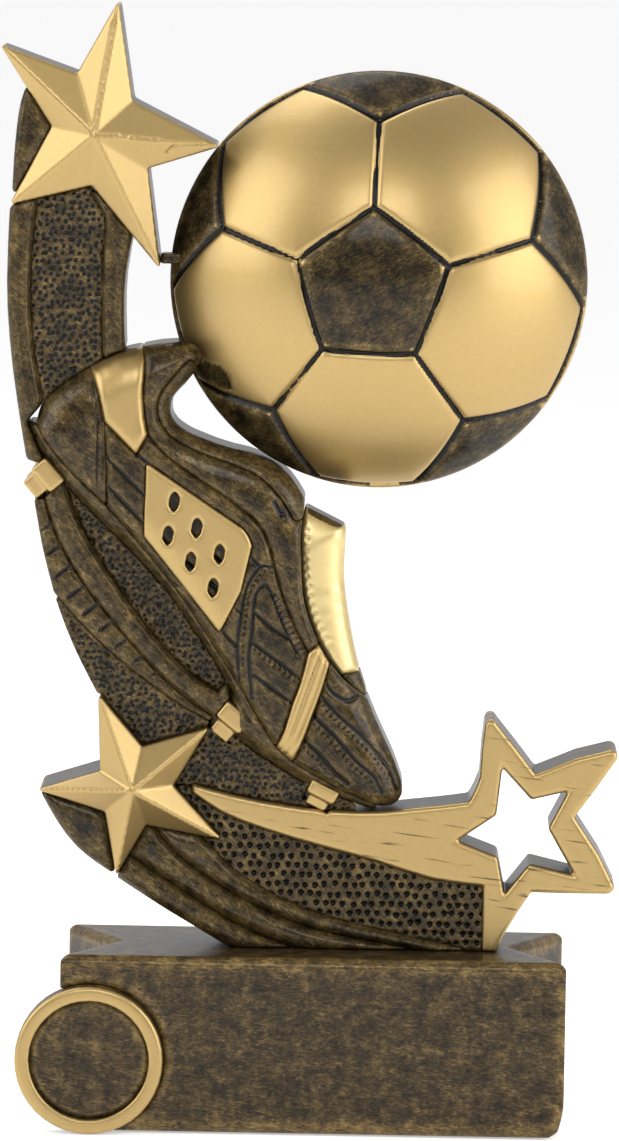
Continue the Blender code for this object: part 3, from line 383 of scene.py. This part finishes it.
def lacquered_resin(name, turn=0.7, stain=STAIN, gold=None, streaked=0.0):
    material, tree, shader = new_material(name)
    here = add(tree, "ShaderNodeTexCoord").outputs["Object"]
    relief = add(tree, "ShaderNodeAttribute", attribute_name="relief").outputs["Fac"]
    gilt = add(tree, "ShaderNodeAttribute", attribute_name="gilt").outputs["Fac"]
    brushed = add(tree, "ShaderNodeMapping", {
        "Vector": here, "Rotation": (0.0, turn, 0.0),
        "Scale": (STREAK_LENGTH, STREAK_WIDTH, STREAK_WIDTH)},
        vector_type="TEXTURE").outputs["Vector"]
    streaks = add(tree, "ShaderNodeTexNoise", {
        "Vector": brushed, "Scale": 1.0, "Detail": 3.0, "Roughness": 0.65,
        "Distortion": 1.6}).outputs["Fac"]
    patches = add(tree, "ShaderNodeTexNoise", {
        "Vector": here, "Scale": 1 / PATCH, "Detail": 9.0, "Roughness": 0.78}).outputs["Fac"]
    mixed = add(tree, "ShaderNodeMath", {0: streaks, 1: 0.75, 2: -0.375}, operation="MULTIPLY_ADD")
    mixed = add(tree, "ShaderNodeMath", {0: patches, 1: 1.0, 2: mixed.outputs[0]},
                operation="MULTIPLY_ADD")
    worn = add(tree, "ShaderNodeMath", {0: relief, 1: 0.62}, operation="MINIMUM").outputs[0]
    raised = add(tree, "ShaderNodeMath", {0: worn, 1: 1.1, 2: -0.55}, operation="MULTIPLY_ADD")
    tone = add(tree, "ShaderNodeMath", {0: mixed.outputs[0], 1: raised.outputs[0]},
               operation="ADD").outputs[0]
    stained = add(tree, "ShaderNodeValToRGB", {"Fac": tone}, stain).outputs["Color"]
    grain = add(tree, "ShaderNodeBump", {
        "Height": mixed.outputs[0], "Strength": 0.35, "Distance": 0.00006}).outputs["Normal"]
    tree.links.new(grain, shader.inputs["Normal"])
    shader.inputs["Specular IOR Level"].default_value = 0.08
    shader.inputs["Coat Weight"].default_value = 0.35
    shader.inputs["Coat Roughness"].default_value = 0.13
    shader.inputs["Coat IOR"].default_value = 1.5
    if not gold:
        tree.links.new(stained, shader.inputs["Base Color"])
        shader.inputs["Metallic"].default_value = 0.3
        shader.inputs["Roughness"].default_value = 0.46
        return material
    shade = add(tree, "ShaderNodeMath", {0: streaks, 1: 0.4, 2: 0.3}, operation="MULTIPLY_ADD")
    painted = add(tree, "ShaderNodeValToRGB", {"Fac": shade.outputs[0]}, gold).outputs["Color"]
    cover = add(tree, "ShaderNodeMath", {0: relief, 1: 1.6, 2: -0.8}, operation="MULTIPLY_ADD")
    cover = add(tree, "ShaderNodeMath", {0: gilt, 1: cover.outputs[0]}, operation="ADD")
    ragged = add(tree, "ShaderNodeMath", {0: patches, 1: 0.5, 2: -0.25}, operation="MULTIPLY_ADD")
    cover = add(tree, "ShaderNodeMath", {0: cover.outputs[0], 1: ragged.outputs[0]}, operation="ADD")
    covered = add(tree, "ShaderNodeMapRange", {
        "Value": cover.outputs[0], "From Min": 0.42, "From Max": 0.58}).outputs["Result"]
    if streaked:
        wiped = add(tree, "ShaderNodeMapping", {
            "Vector": here, "Rotation": (0.0, 0.12, 0.0), "Scale": (0.011, 0.004, 0.0007)},
            vector_type="TEXTURE")
        lines = add(tree, "ShaderNodeTexNoise", {
            "Vector": wiped.outputs["Vector"], "Scale": 1.0, "Detail": 2.0}).outputs["Fac"]
        bare = add(tree, "ShaderNodeMapRange", {
            "Value": lines, "From Min": 0.64, "From Max": 0.73, "To Max": streaked}).outputs["Result"]
        covered = add(tree, "ShaderNodeMath", {0: covered, 1: bare}, operation="SUBTRACT",
                      use_clamp=True).outputs[0]
    colour = add(tree, "ShaderNodeMix", {"Factor": covered, 6: stained, 7: painted}, data_type="RGBA")
    tree.links.new(colour.outputs[2], shader.inputs["Base Color"])
    metal = add(tree, "ShaderNodeMapRange", {"Value": covered, "To Min": 0.2, "To Max": 0.95})
    tree.links.new(metal.outputs["Result"], shader.inputs["Metallic"])
    rough = add(tree, "ShaderNodeMapRange", {"Value": covered, "To Min": 0.46, "To Max": 0.40})
    tree.links.new(rough.outputs["Result"], shader.inputs["Roughness"])
    return material


bronze_resin = lacquered_resin("lacquered bronze-stained resin")
gold_resin = lacquered_resin("resin with satin gold paint", gold=GOLD)
tongue_gold_painted_highlight = lacquered_resin("resin with satin gold paint and painted highlight", gold=GOLD_WITH_PAINTED_HIGHLIGHT)
wiped_gold = lacquered_resin("resin with wiped gold paint", gold=GOLD, streaked=0.85)
print("materials:", [m.name for m in bpy.data.materials if "resin" in m.name])

# %% [markdown]
# ## The ball
# The ball is a thick lens with a rounded rim. The seams are those of a football: five- and
# six-sided panels whose planes are those of a cut-off icosahedron. A point belongs to the
# plane that it pushes against hardest, and the lead over the second plane is its distance to
# the seam. So one formula gives the seams, the pillowed panels and the paint.

# %% Ball geometry from the frame
ball_low, ball_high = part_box("ball_core")
BALL_X = (ball_low.x + ball_high.x) / 2 / MM
BALL_Z = (ball_low.z + ball_high.z) / 2 / MM
BALL_RADIUS = (ball_high.x - ball_low.x) / 2 / MM
BALL_DEPTH = ball_high.y / MM
RIM = 3.0
CAP = (((BALL_RADIUS - RIM) ** 2 + BALL_DEPTH ** 2 - RIM ** 2) / (2 * (BALL_DEPTH - RIM)))
SINK = CAP - BALL_DEPTH
MEET = math.asin((BALL_RADIUS - RIM) / (CAP - RIM))
PATTERN = BALL_RADIUS * 49.0 / 43.8
TURN = {-1: 1.4, 1: 36.0}
LEAN = {-1: (0.034, 0.010), 1: (0.0, 0.0)}
PENTAGON_PLANE, HEXAGON_PLANE = 2.32744, 2.26728
print("ball: radius", round(BALL_RADIUS, 1), "mm at", round(BALL_X, 1), round(BALL_Z, 1))


# %% The planes of its panels, then the lens, its seams and its paint
def panel_planes(turn):
    """Normals over plane distances: the pentagons, then the five gold hexagons, then the rest."""
    def ring(polar, start, distance):
        return [[math.sin(polar) * math.sin(start + math.tau * i / 5), math.cos(polar),
                 math.sin(polar) * math.cos(start + math.tau * i / 5)] + [distance] for i in range(5)]
    first = math.radians(turn)
    half = first + math.pi / 5
    rows = ([[0.0, 1.0, 0.0, PENTAGON_PLANE]]
            + ring(math.radians(63.435), first, PENTAGON_PLANE)
            + ring(math.radians(37.377), half, HEXAGON_PLANE)
            + ring(math.radians(79.188), half, HEXAGON_PLANE))
    rows = np.array(rows)
    return rows[:, :3] / rows[:, 3:]


def make_ball(material, seam_width=0.55, seam_depth=0.95, pillow=0.28):
    bm = bmesh.new()
    angles = [MEET * i / 24 for i in range(25)]
    profile = [(CAP * math.sin(a), CAP * math.cos(a) - SINK) for a in angles]
    turns = [MEET + (math.pi / 2 - MEET) * i / 6 for i in range(1, 7)]
    profile += [(BALL_RADIUS - RIM + RIM * math.sin(a), RIM * math.cos(a)) for a in turns]
    profile += [(r, -h) for r, h in reversed(profile[:-1])]
    chain = [bm.verts.new((r * MM, -h * MM, 0.0)) for r, h in profile]
    links = [bm.edges.new(pair) for pair in zip(chain[:-1], chain[1:])]
    bmesh.ops.spin(bm, geom=chain + links, cent=(0, 0, 0), axis=(0, 1, 0), dvec=(0, 0, 0),
                   angle=math.tau, steps=128, use_merge=True, use_duplicate=False)
    bmesh.ops.remove_doubles(bm, verts=bm.verts, dist=1e-6)
    bmesh.ops.recalc_face_normals(bm, faces=bm.faces)
    mesh = even_net("ball_cast", bm, 0.54, 2)
    points = points_of(mesh)
    across = np.hypot(points[:, 0], points[:, 2])
    side = np.where(points[:, 1] < 0, -1, 1)
    up = np.abs(points[:, 1])
    on_cap = across < (up + SINK) * math.tan(MEET)
    angle = np.where(on_cap, np.arctan2(across, up + SINK),
                     np.arctan2(across - BALL_RADIUS + RIM, up))
    out_to = np.where(on_cap, CAP * np.sin(angle), BALL_RADIUS - RIM + RIM * np.sin(angle))
    depth = np.where(on_cap, CAP * np.cos(angle) - SINK, RIM * np.cos(angle))
    heading = points[:, [0, 2]] / np.maximum(across, 1e-9)[:, None]
    normals = np.stack([np.sin(angle) * heading[:, 0], side * np.cos(angle),
                        np.sin(angle) * heading[:, 1]], axis=1)
    points = np.stack([out_to * heading[:, 0], side * depth, out_to * heading[:, 1]], axis=1)
    seam, gold = np.zeros(len(points)), np.zeros(len(points), bool)
    for face in (-1, 1):
        chosen = side == face
        drawn = 1 - 0.036 * smooth_step(across[chosen], 25.0, 43.0)
        flat = points[chosen][:, [0, 2]] * drawn[:, None] / PATTERN
        out = np.sqrt(1 - (flat ** 2).sum(axis=1))
        ray = np.stack([flat[:, 0] + LEAN[face][0] * out, out, flat[:, 1] + LEAN[face][1] * out], axis=1)
        planes = panel_planes(TURN[face])
        push = ray @ planes.T
        order = np.argsort(-push, axis=1)
        lead = planes[order[:, 0]] - planes[order[:, 1]]
        seam[chosen] = (lead * ray).sum(axis=1) / np.linalg.norm(lead, axis=1) * PATTERN
        gold[chosen] = (order[:, 0] > 5) & (order[:, 0] < 11)
    fade = smooth_step(np.abs(points[:, 1]), 0.2, 1.5)
    sunk = (seam_depth * np.exp(-(seam / seam_width) ** 2) + pillow * np.exp(-seam / 1.8)) * fade
    points -= normals * sunk[:, None]
    # On the front face the gold fades out within 12.5 mm of the point where the boot's heel tab meets
    # the ball.
    heel_tab_distance = np.hypot(points[:, 0] + BALL_X + 25.2, points[:, 2] + BALL_Z - 154.5)
    spray = smooth_step(np.sin(points[:, 0] * 0.31 + 1.0) * np.sin(points[:, 2] * 0.27 + 0.6), 0.3, 0.7)
    signed = np.where(gold, seam, -seam)
    gilt = smooth_step(signed, 0.25 - 1.1 * spray, 0.7 - 0.9 * spray)
    gilt *= np.where(points[:, 1] < 0, smooth_step(heel_tab_distance, 1.0, 12.5), 1.0)
    points += np.array([BALL_X, 0.0, BALL_Z])
    set_points(mesh, points)
    store(mesh, "relief", relief_of(mesh, points, normals_of(mesh)))
    store(mesh, "gilt", gilt)
    tiles = [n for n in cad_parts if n.startswith("ball_")]
    return as_piece("ball_cast", mesh, tiles, material)


ball_resin = lacquered_resin("ball resin with sprayed gold paint", turn=-0.5, gold=GOLD)
make_ball(ball_resin)
print("ball:", triangles["ball_cast"], "triangles")

# %% [markdown]
# ## The boot
# The upper is a real boot seen from its side, with the surface falling away to its outline all
# round. Its lines are the seams, folds and stitches of the leather, all read from how such a
# boot is sewn: cross seams down the quarter, an arched patch with piping over the instep,
# a laddered seam beside the tongue, and long ridges over the toe.

# %% The boot's lines, mm (X, Z)
QUARTER_SEAMS = [[(-45.1, 148.1), (-38.5, 141.2), (-29.3, 133.4), (-21.0, 126.7)],
                 [(-45.3, 140.6), (-39.5, 135.0), (-31.0, 127.2), (-22.5, 120.1), (-16.4, 114.0)],
                 [(-44.7, 134.5), (-40.1, 129.8), (-31.6, 121.5), (-23.3, 114.6), (-16.5, 108.2)],
                 [(-33.5, 115.5), (-27.7, 112.4), (-24.0, 109.5), (-19.8, 103.9), (-17.0, 101.2)]]
ARCH = [(-14.6, 89.8), (-16.5, 93.2), (-17.1, 100.6), (-16.5, 108.0), (-15.7, 112.8), (-14.4, 115.8),
        (-12.3, 118.2), (-10.1, 118.1)]
ARCH_PIPING = [(-14.0, 90.3), (-14.7, 99.2), (-14.1, 105.1), (-13.8, 110.6), (-12.9, 113.2),
               (-11.5, 114.2), (-10.5, 113.1), (-8.8, 108.9), (-6.9, 104.5), (-4.6, 100.1)]
ARCH_CROSS = [[(-13.9, 108.6), (-10.2, 105.5), (-6.3, 103.0)],
              [(-14.0, 102.1), (-7.5, 97.5), (-3.8, 94.6)],
              [(-13.7, 95.3), (-9.3, 92.3), (-5.7, 89.7)]]
ARCH_JOIN = [(-16.2, 121.8), (-13.0, 118.6), (-12.3, 118.2)]
LADDER = [(-9.6, 112.2), (-7.9, 108.8), (-5.5, 104.3), (-3.2, 100.2)]
HEEL_RIDGES = [[(-48.6, 157.5), (-47.2, 150.0), (-46.9, 140.0), (-47.2, 133.5)],
               [(-46.6, 153.0), (-46.0, 143.0), (-46.0, 133.0)]]
COLLAR_LINE = [(-26.6, 160.6), (-31.2, 155.2), (-33.0, 152.2), (-33.0, 149.3), (-31.4, 146.9),
               (-28.5, 144.6), (-23.6, 142.6), (-17.6, 140.4)]
EYELET = [(-9.8, 131.7), (-8.4, 129.2)]
TOE_RIDGES = [[(0.9, 90.8), (4.0, 87.3), (8.5, 83.3), (12.3, 79.3), (15.3, 75.3), (16.8, 71.5)],
              [(-1.1, 86.9), (3.4, 82.9), (7.9, 77.8), (11.6, 74.5), (13.7, 70.9)],
              [(-3.2, 82.0), (0.5, 78.8), (3.5, 75.1), (6.5, 72.6)]]
TOE_PATCH = [(1.7, 93.6), (3.2, 91.7), (6.2, 90.1), (8.4, 91.2)]
TONGUE_STITCH = [(-2.9, 125.5), (-3.1, 118.6), (-2.4, 114.1), (-1.4, 109.0), (0.1, 105.2), (2.6, 100.6)]
STRAP_LINES = [[(0.3, 100.6), (-2.6, 92.3), (-5.4, 84.1), (-7.6, 79.4)],
               [(1.4, 98.9), (-0.8, 91.8), (-3.9, 83.6), (-6.4, 78.4)]]
SOLE_LINE = [(-60.2, 144.6), (-54.8, 138.0), (-46.4, 129.6), (-37.6, 119.8), (-31.0, 111.4),
             (-24.4, 101.6), (-18.6, 92.2), (-14.2, 85.4)]


def beside(line, offset):
    """The same line moved sideways, for stitches that follow a seam."""
    p = np.array(line, float)
    way = np.gradient(p, axis=0)
    way /= np.linalg.norm(way, axis=1)[:, None]
    return p + np.stack([-way[:, 1], way[:, 0]], axis=1) * offset


# %% [markdown]
# The leather falls away over the last 8 mm before the outline, by about 6 mm a side. Fine lines
# are 0.4 mm wide, and stitches are 1.3 mm apart, a little coarser than thread, so that they show.

# %% Cast the boot
BOOT = ["heel_counter", "heel_stripe", "ankle_panel", "collar_band", "boot_quarter", "instep_strap",
        "toe_cap", "tongue", "tongue_tip", "sole_plate"]
boot_inside = inside_distance(BOOT)
boot_thin = (boot_inside, 8.0, 6.0, 12.5)
FINE, STITCH = 0.34, 1.3
cast("heel_counter", bronze_resin, thin=boot_thin, tools=[groove(HEEL_RIDGES, 0.45, 0.5)])
cast("ankle_panel", bronze_resin, thin=boot_thin,
     tools=[groove([COLLAR_LINE], FINE, 0.4), groove([EYELET], 0.55, 0.9)])
cast("collar_band", bronze_resin, thin=boot_thin)
cast("boot_quarter", bronze_resin, grain=0.36, thin=boot_thin,
     tools=[groove(QUARTER_SEAMS + [ARCH, ARCH_PIPING, ARCH_JOIN] + ARCH_CROSS, FINE, 0.6),
            groove([beside(ARCH, -1.1), beside(ARCH_CROSS[1], -0.9)], 0.3, 0.35, STITCH),
            groove([LADDER], 0.95, 0.45, 1.25)])
cast("toe_cap", bronze_resin, grain=0.36, thin=boot_thin,
     tools=[groove(TOE_RIDGES + [TOE_PATCH], 0.38, 0.7),
            groove([beside(line, -1.1) for line in TOE_RIDGES], 0.32, 0.4, STITCH)])
cast("sole_plate", bronze_resin, thin=boot_thin, tools=[groove([SOLE_LINE], FINE, 0.4)])
cast("tongue_tip", bronze_resin, grain=0.35, thin=boot_thin)
all_gold = (-0.02, -0.01)
# The tongue takes the lightened gold, a painted highlight where it turns towards the right-hand light.
cast("tongue", tongue_gold_painted_highlight, thin=(boot_inside, 10.0, 6.0, 12.5), gilt_edge=all_gold,
     dark_top_painted_shade=True, tools=[groove([TONGUE_STITCH], 0.36, 0.5, 1.9)])
cast("heel_stripe", gold_resin, thin=boot_thin)
cast("instep_strap", gold_resin, grain=0.38, thin=boot_thin,
     tools=[groove(STRAP_LINES, 0.34, 0.5)])
for word in ("front", "back"):
    cast("side_panel_" + word, gold_resin, grain=0.35, soften=2, thin=boot_thin)
    for station in ("heel", "middle", "toe"):
        cast("stud_%s_%s" % (station, word), gold_resin, grain=0.26, soften=8,
             gilt_edge=all_gold)
print("boot:", sum(triangles.values()), "triangles so far")

# %% [markdown]
# ## The crescent and the keel
# The sweep behind the boot is a frame of smooth bands round sunk panels. Some panels are
# punched like netting, pit by pit, and the band beside the heel has rungs across it like a
# ladder. The keel's bands are rounded like laid ropes, with a V between them.

# %% Rungs across the ladder band
RUNG_STARTS = [(-61.2, 134.5), (-60.0, 129.6), (-58.6, 124.6), (-57.2, 119.6), (-55.6, 114.8),
               (-53.0, 110.4), (-49.6, 107.0), (-46.0, 103.8), (-42.2, 100.6), (-38.4, 97.6),
               (-34.8, 94.8), (-31.6, 92.6), (-28.8, 90.6), (-26.4, 88.9)]
RUNG_LENGTHS = [4.5, 5.5, 6.5, 7.0, 7.4, 7.4, 6.8, 6.0, 5.2, 4.5, 3.8, 3.2, 2.6, 2.2]
RUNG_TURN = math.radians(38)
rungs = [[(x, z), (x + n * math.cos(RUNG_TURN), z + n * math.sin(RUNG_TURN))]
         for (x, z), n in zip(RUNG_STARTS, RUNG_LENGTHS)]
print("ladder:", len(rungs), "rungs")

# %% Cast the sweep
for band in ("crescent_tip", "crescent_outer_rim", "crescent_inner_rim", "smooth_band"):
    cast(band, bronze_resin, thin=(inside_distance([band]), 1.6, 0.9, 9.0))
cast("ladder_band", bronze_resin, tools=[groove(rungs, 0.38, 0.7)])
FINE_NET = 0.33
net = pits(1.4, 0.58, 0.55, 0.34, 3)
stipple = pits(1.3, 0.54, 0.4, 0.38, 5)
beads = pits(2.0, 0.74, 0.8, 0.16, 8)
cast("crescent_net_panel", bronze_resin, grain=FINE_NET, soften=1, tools=[net])
cast("heel_recess_panel", bronze_resin, grain=FINE_NET, soften=1, tools=[stipple])
cast("outer_net_panel", bronze_resin, grain=FINE_NET, soften=1, tools=[stipple])
cast("toe_net_panel", bronze_resin, grain=FINE_NET, soften=1, tools=[stipple],
     fill=["stud_middle_front", "stud_toe_front"])
cast("tail_bead_panel", bronze_resin, grain=FINE_NET, soften=1, tools=[beads])
for band in ("keel_tip", "keel_outer_band", "keel_middle_band", "keel_inner_band"):
    cast(band, bronze_resin, thin=(inside_distance([band]), 2.4, 1.5, 10.5))
cast("star_bridge", bronze_resin, grain=0.25, squeeze=(1.0, 0.6, 0.5))
print("sweep:", sum(triangles.values()), "triangles so far")

# %% [markdown]
# ## The stars
# Each solid star is ten facets that meet over its centre. The master was carved by hand: there
# is a tool line down the top ridge, and small cracks where the facets meet.

# %% Cast the stars
TOP_RIDGE = [(-48.6, 208.4), (-47.0, 219.0), (-45.0, 231.0)]
CRACKS = [[(-48.4, 207.9), (-43.6, 208.0)], [(-41.2, 207.6), (-35.6, 207.0)],
          [(-33.6, 204.2), (-31.4, 205.9), (-26.2, 206.2)]]
cast("upper_star", gold_resin, grain=0.36, soften=2,
     tools=[groove([TOP_RIDGE], 0.3, 0.45), groove(CRACKS, 0.22, 0.4)])
cast("lower_star", gold_resin, grain=0.36, soften=2)
cast("shooting_star", wiped_gold, grain=0.42, soften=2)
print("stars:", sum(triangles.values()), "triangles so far")

# %% [markdown]
# ## The base
# The block is the same casting. Its rear top edges are worn well round, and its ends draw in
# near the foot, as the mould does. A gold ring on the front frames the seat for a centre disc.

# %% Cast the base and the medal
base_low, base_high = (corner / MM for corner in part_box("base_block"))
REAR_ROUND, FOOT_HEIGHT, FOOT_DRAW = 2.8, 9.0, 1.9


def make_base(material):
    mesh = even_net("base_block_cast", merged_copy("base_block"), 0.62, 3)
    points = points_of(mesh)
    over_y = points[:, 1] - (base_high.y - REAR_ROUND)
    over_z = points[:, 2] - (base_high.z - REAR_ROUND)
    beyond = np.hypot(over_y, over_z)
    corner = (over_y > 0) & (over_z > 0) & (beyond > REAR_ROUND)
    pull = np.where(corner, REAR_ROUND / np.maximum(beyond, 1e-6), 1.0)
    points[:, 1] = np.where(corner, base_high.y - REAR_ROUND + over_y * pull, points[:, 1])
    points[:, 2] = np.where(corner, base_high.z - REAR_ROUND + over_z * pull, points[:, 2])
    near_foot = np.clip((FOOT_HEIGHT - points[:, 2]) / FOOT_HEIGHT, 0, 1) ** 2
    near_end = smooth_step(np.abs(points[:, 0]), base_high.x - 8, base_high.x)
    points[:, 0] -= np.sign(points[:, 0]) * FOOT_DRAW * near_foot * near_end
    set_points(mesh, points)
    normals = normals_of(mesh)
    store(mesh, "relief", relief_of(mesh, points, normals))
    store(mesh, "gilt", np.zeros(len(points)))
    return as_piece("base_block_cast", mesh, ["base_block"], material)


base_resin = lacquered_resin("lacquered bronze-stained base resin", turn=0.1,
                             stain=[(0.30, "#0F0C07"), (0.48, "#332917"), (0.62, "#574629"),
                                    (0.84, "#8F7747")])
make_base(base_resin)
cast("medal_boss", base_resin, grain=0.4)
cast("medal_ring", gold_resin, grain=0.35, soften=2)
print("base:", sum(triangles.values()), "triangles in all")

# %% [markdown]
# ## What stays as the frame made it
# The felt under the base, the two fixing screws and the two dowels are right as they are, and
# they only need real finishes: pressed wool felt, matt and fibrous, and zinc-plated steel.

# %% Felt and steel
def wool_felt():
    material, tree, shader = new_material("pressed wool felt")
    here = add(tree, "ShaderNodeTexCoord").outputs["Object"]
    fibres = add(tree, "ShaderNodeTexNoise", {
        "Vector": here, "Scale": 1 / 0.0005, "Detail": 6.0, "Roughness": 0.8}).outputs["Fac"]
    colour = add(tree, "ShaderNodeValToRGB", {"Fac": fibres}, [(0.3, "#0C0C0E"), (0.7, "#26262A")])
    tree.links.new(colour.outputs["Color"], shader.inputs["Base Color"])
    bump = add(tree, "ShaderNodeBump", {"Height": fibres, "Strength": 0.8, "Distance": 0.0003})
    tree.links.new(bump.outputs["Normal"], shader.inputs["Normal"])
    shader.inputs["Roughness"].default_value = 0.95
    shader.inputs["Sheen Weight"].default_value = 0.3
    return material


def zinc_steel():
    material, tree, shader = new_material("zinc-plated steel")
    here = add(tree, "ShaderNodeTexCoord").outputs["Object"]
    drawn = add(tree, "ShaderNodeTexNoise", {
        "Vector": here, "Scale": 1 / 0.0008, "Detail": 4.0}).outputs["Fac"]
    colour = add(tree, "ShaderNodeValToRGB", {"Fac": drawn}, [(0.3, "#9A9C9E"), (0.7, "#C4C6C8")])
    tree.links.new(colour.outputs["Color"], shader.inputs["Base Color"])
    rough = add(tree, "ShaderNodeMapRange", {"Value": drawn, "To Min": 0.28, "To Max": 0.42})
    tree.links.new(rough.outputs["Result"], shader.inputs["Roughness"])
    shader.inputs["Metallic"].default_value = 1.0
    return material


felt, steel = wool_felt(), zinc_steel()
kept = {"felt_pad": felt, "fixing_screw_left": steel, "fixing_screw_right": steel,
        "upper_star_dowel": steel, "lower_star_dowel": steel}
for node, material in kept.items():
    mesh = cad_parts[node].data
    mesh.materials.clear()
    mesh.materials.append(material)
print("kept nodes:", sorted(kept))

# %% [markdown]
# ## Floor, light and camera
# The trophy stands on a pale sweep with a large soft light at each side, so that facets turned
# sideways shine and those turned up or down stay tan. A long lens far away keeps the outline
# nearly flat, as a catalogue picture does.

# %% The floor
def make_floor():
    bm = bmesh.new()
    bmesh.ops.create_grid(bm, x_segments=1, y_segments=1, size=14.0)
    mesh = bpy.data.meshes.new("floor")
    bm.to_mesh(mesh)
    bm.free()
    material, tree, shader = new_material("pale studio paper")
    shader.inputs["Base Color"].default_value = linear("#F4F3F1")
    shader.inputs["Roughness"].default_value = 0.9
    shader.inputs["Emission Color"].default_value = linear("#FFFFFF")
    shader.inputs["Emission Strength"].default_value = 0.45
    mesh.materials.append(material)
    floor = bpy.data.objects.new("floor", mesh)
    bpy.context.scene.collection.objects.link(floor)


make_floor()


# %% The lights
def soft_box(name, place, size, watts):
    light = bpy.data.lights.new(name, "AREA")
    light.shape = "RECTANGLE"
    light.size, light.size_y = size
    light.energy = watts
    box = bpy.data.objects.new(name, light)
    box.location = place
    box.rotation_euler = (Vector((0, 0, 0.12)) - Vector(place)).to_track_quat("-Z", "Y").to_euler()
    bpy.context.scene.collection.objects.link(box)


soft_box("left_box", (-0.95, -0.35, 0.62), (0.8, 0.9), 6.3)
soft_box("right_box", (0.95, -0.35, 0.50), (0.8, 0.9), 7.2)
soft_box("top_box", (-0.25, 0.35, 1.15), (0.9, 0.5), 4)
soft_box("front_box", (0.0, -1.5, 1.1), (1.0, 0.7), 9)
world = bpy.data.worlds.new("studio")
bpy.context.scene.world = world
world.use_nodes = True
sky = world.node_tree
towards = add(sky, "ShaderNodeTexCoord").outputs["Generated"]
behind = add(sky, "ShaderNodeSeparateXYZ", {"Vector": towards}).outputs["Y"]
level = add(sky, "ShaderNodeMapRange", {
    "Value": behind, "From Min": -0.9, "From Max": 0.7, "To Min": 0.25, "To Max": 0.8})
sky.links.new(level.outputs["Result"], sky.nodes["Background"].inputs["Strength"])
sky.nodes["Background"].inputs["Color"].default_value = linear("#FAFAFC")
bpy.context.scene.view_settings.view_transform = "Standard"

# %% The camera
AZIMUTH, ELEVATION, ROLL = (math.radians(v) for v in (0.5741, 5.4567, 0.9644))
DISTANCE = 1765.25 * MM
TARGET = Vector((-2.4235, 0.0, 116.404)) * MM
LENS = 264.5
back = Vector((math.sin(AZIMUTH) * math.cos(ELEVATION), -math.cos(AZIMUTH) * math.cos(ELEVATION),
               math.sin(ELEVATION)))
level = Vector((math.cos(AZIMUTH), math.sin(AZIMUTH), 0.0))
upright = back.cross(level)
across = math.cos(ROLL) * level + math.sin(ROLL) * upright
upward = -math.sin(ROLL) * level + math.cos(ROLL) * upright
lens = bpy.data.cameras.new("camera")
lens.lens = LENS
lens.sensor_width = 36.0
lens.clip_start, lens.clip_end = 0.05, 50.0
camera = bpy.data.objects.new("camera", lens)
camera.matrix_world = (Matrix.Translation(TARGET + back * DISTANCE)
                       @ Matrix((across, upward, back)).transposed().to_4x4())
bpy.context.scene.collection.objects.link(camera)
bpy.context.scene.camera = camera
